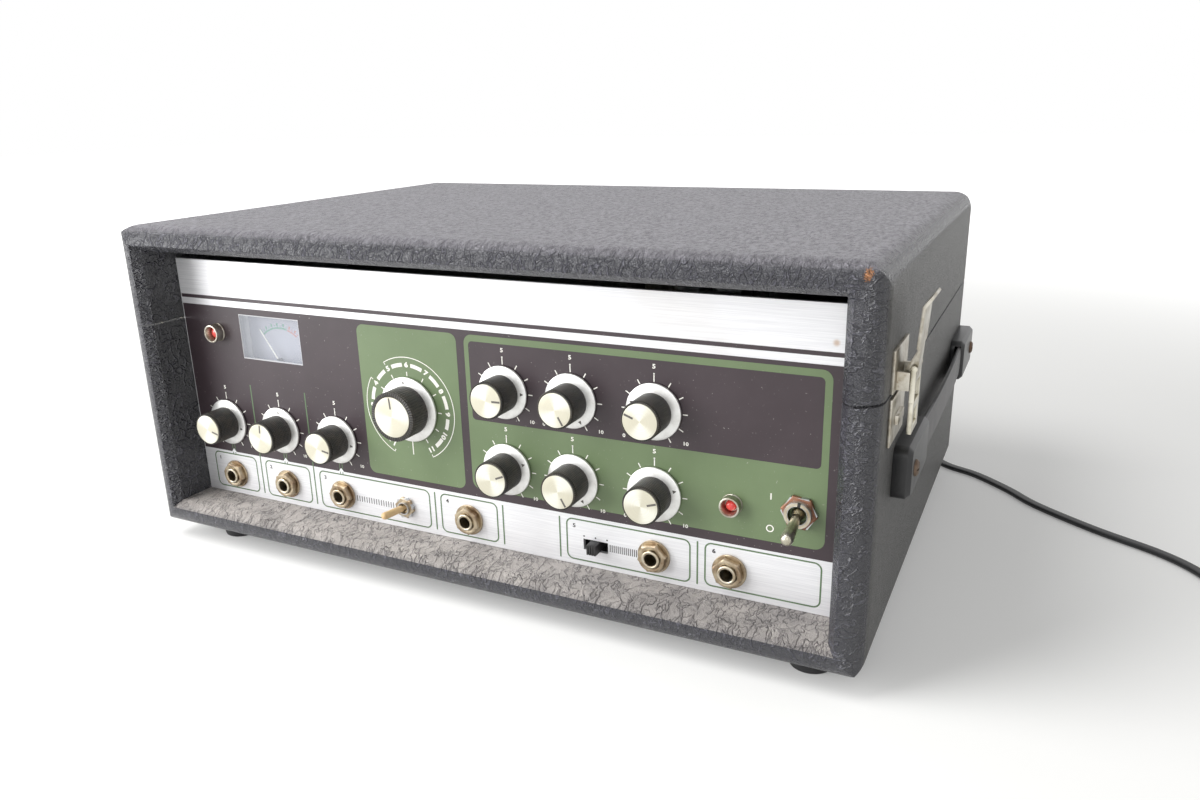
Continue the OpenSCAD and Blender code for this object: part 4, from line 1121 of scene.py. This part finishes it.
for node in ("latch_keepers", "latch_plates", "right_latch_lever", "left_latch_lever"):
    soften(node, "nickel", "nickel", 0.25)
for node in ("right_latch_hook", "left_latch_hook"):
    soften(node, "chrome", "nickel", 0.25)
soften("handle_caps", "moulded", "black_plastic", 0.8, 3, 25.0)
dress("screwMetal", "case_screws")
for node in ("lower_hinges", "lid_hinges"):
    soften(node, "nickel", "nickel", 0.2)

# The handle straps in millimetres: how far out, their front and rear ends, and how far the middle bows out
handle = {"x": 211.7, "ends": (-82.5, 103.5), "thick": 3.0, "wide": 18.0, "h": 82.0, "bow": 1.6,
          "waist": 0.06, "steps": 40, "sides": 28}


def makeStraps():
    bm = bmesh.new()
    front, rear = handle["ends"]
    for side in (1, -1):
        rings = []
        for k in range(handle["steps"] + 1):
            t = k / handle["steps"]
            arch = math.sin(math.pi * t)
            middle = handle["x"] + handle["bow"] * arch ** 0.8
            half = handle["wide"] / 2 * (1 - handle["waist"] * arch)
            ring = []
            for c, s in circle(handle["sides"]):
                x = middle + handle["thick"] / 2 * squared(c, 0.45)
                z = case["foot"] + handle["h"] + half * squared(s, 0.7)
                ring.append(bm.verts.new(Vector((side * x, front + (rear - front) * t, z)) * mm))
            rings.append(ring)
        tube(bm, rings)
    piece = newPiece("handleStraps", bm, ["strap"], "case", 40.0)
    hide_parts("handle_straps")


footForm = {"x": (-168, 181), "y": (-129.5, 120.5),
            "profile": [(0, 1.2), (3.0, 1.2), (3.2, 0.2), (3.6, 0), (9.4, 0), (9.9, 0.3), (10.2, 1.2),
                        (10.6, 5.0), (10.9, 6.8), (11, 8.0), (0, 8.0)]}


def makeFeet():
    bm = bmesh.new()
    for x in footForm["x"]:
        for y in footForm["y"]:
            lathe(bm, footForm["profile"], Matrix.Translation((x * mm, y * mm, 0)), 40)
    piece = newPiece("caseFeet", bm, ["rubber"], "case", 35.0)
    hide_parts("feet")


makeStraps()
makeFeet()
print("side hardware made")

# What the inside is made of
inside = {
    "steel": ("chassis", "deck_plate", "tape_tray", "pinch_arm", "solenoid_plunger", "tape_heads",
              "reverb_tank"),
    "castSteel": ("capstan_flywheel", "motor", "pots"),
    "painted": ("transformer", "mode_switch"),
    "nickel": ("solenoid",),
    "brass": ("motor_pulley",),
    "rubber": ("pinch_roller", "drive_belt"),
    "tape": ("tape_loop",),
    "cover": ("tray_cover",),
    "board": ("circuit_board",),
}

for look, nodes in inside.items():
    dress(look, *nodes)
print("inside dressed")

# Lamps in metres and watts. The floor's own glow is faint near the object and nearly full further out.
studio = {
    "floor": tone(232, 232, 230), "floorReach": 6.0, "glow": (0.2, 0.75), "glowFrom": (0.5, 1.6),
    "world": 0.42, "aim": (0, 0, 0.1),
    "lamps": {
        "windowLamp": {"at": (-1.45, -1.2, 0.6), "size": 1.5, "power": 41.0},
        "frontFill": {"at": (0.6, -1.8, 0.9), "size": 0.9, "power": 4.0},
        "topLamp": {"at": (-0.75, -0.65, 1.65), "size": 1.0, "power": 17.0},
    },
}


def seenRays(look):  # rays that show the background, straight or in a reflection
    paths = look.add("ShaderNodeLightPath").socket.node
    return Wire(look, paths.outputs["Is Camera Ray"]) + Wire(look, paths.outputs["Is Glossy Ray"])


def makeFloor():
    reach = studio["floorReach"]
    corners = [(x, y, 0) for x, y in oblong(-reach, reach, -reach, reach)]
    mesh = bpy.data.meshes.new("floor")
    mesh.from_pydata(corners[::-1], [], [(0, 1, 2, 3)])
    floor = bpy.data.objects.new("floor", mesh)
    scene.collection.objects.link(floor)
    look = newLook("floorPaper")
    x, y, z = look.split(look.place())
    far = look.level((x * x + y * y) ** 0.5, *studio["glowFrom"])
    near, rest = studio["glow"]
    strength = seenRays(look) * (near + far * rest)
    matt = look.add("ShaderNodeBsdfDiffuse", {}, {"Color": studio["floor"]})
    lift = look.add("ShaderNodeEmission", {}, {"Color": white, "Strength": strength})
    mesh.materials.append(look.close(look.add("ShaderNodeAddShader", {}, {0: matt, 1: lift})))


def makeWorld():
    look = Look(bpy.data.worlds.new("studio"), "ShaderNodeOutputWorld")
    strength = studio["world"] + seenRays(look) * (1 - studio["world"])
    look.close(look.add("ShaderNodeBackground", {}, {"Color": white, "Strength": strength}))
    scene.world = look.made


def makeLights():
    for name, lamp in studio["lamps"].items():
        data = bpy.data.lights.new(name, "AREA")
        data.shape = "DISK"
        data.size = lamp["size"]
        data.energy = lamp["power"]
        aim = Vector(studio["aim"]) - Vector(lamp["at"])
        turned = aim.to_track_quat("-Z", "Y").to_matrix().to_4x4()
        holder = bpy.data.objects.new(name, data)
        holder.matrix_world = Matrix.Translation(lamp["at"]) @ turned
        scene.collection.objects.link(holder)


makeFloor()
makeWorld()
makeLights()
print("stage set")

scene.view_settings.view_transform = "Standard"
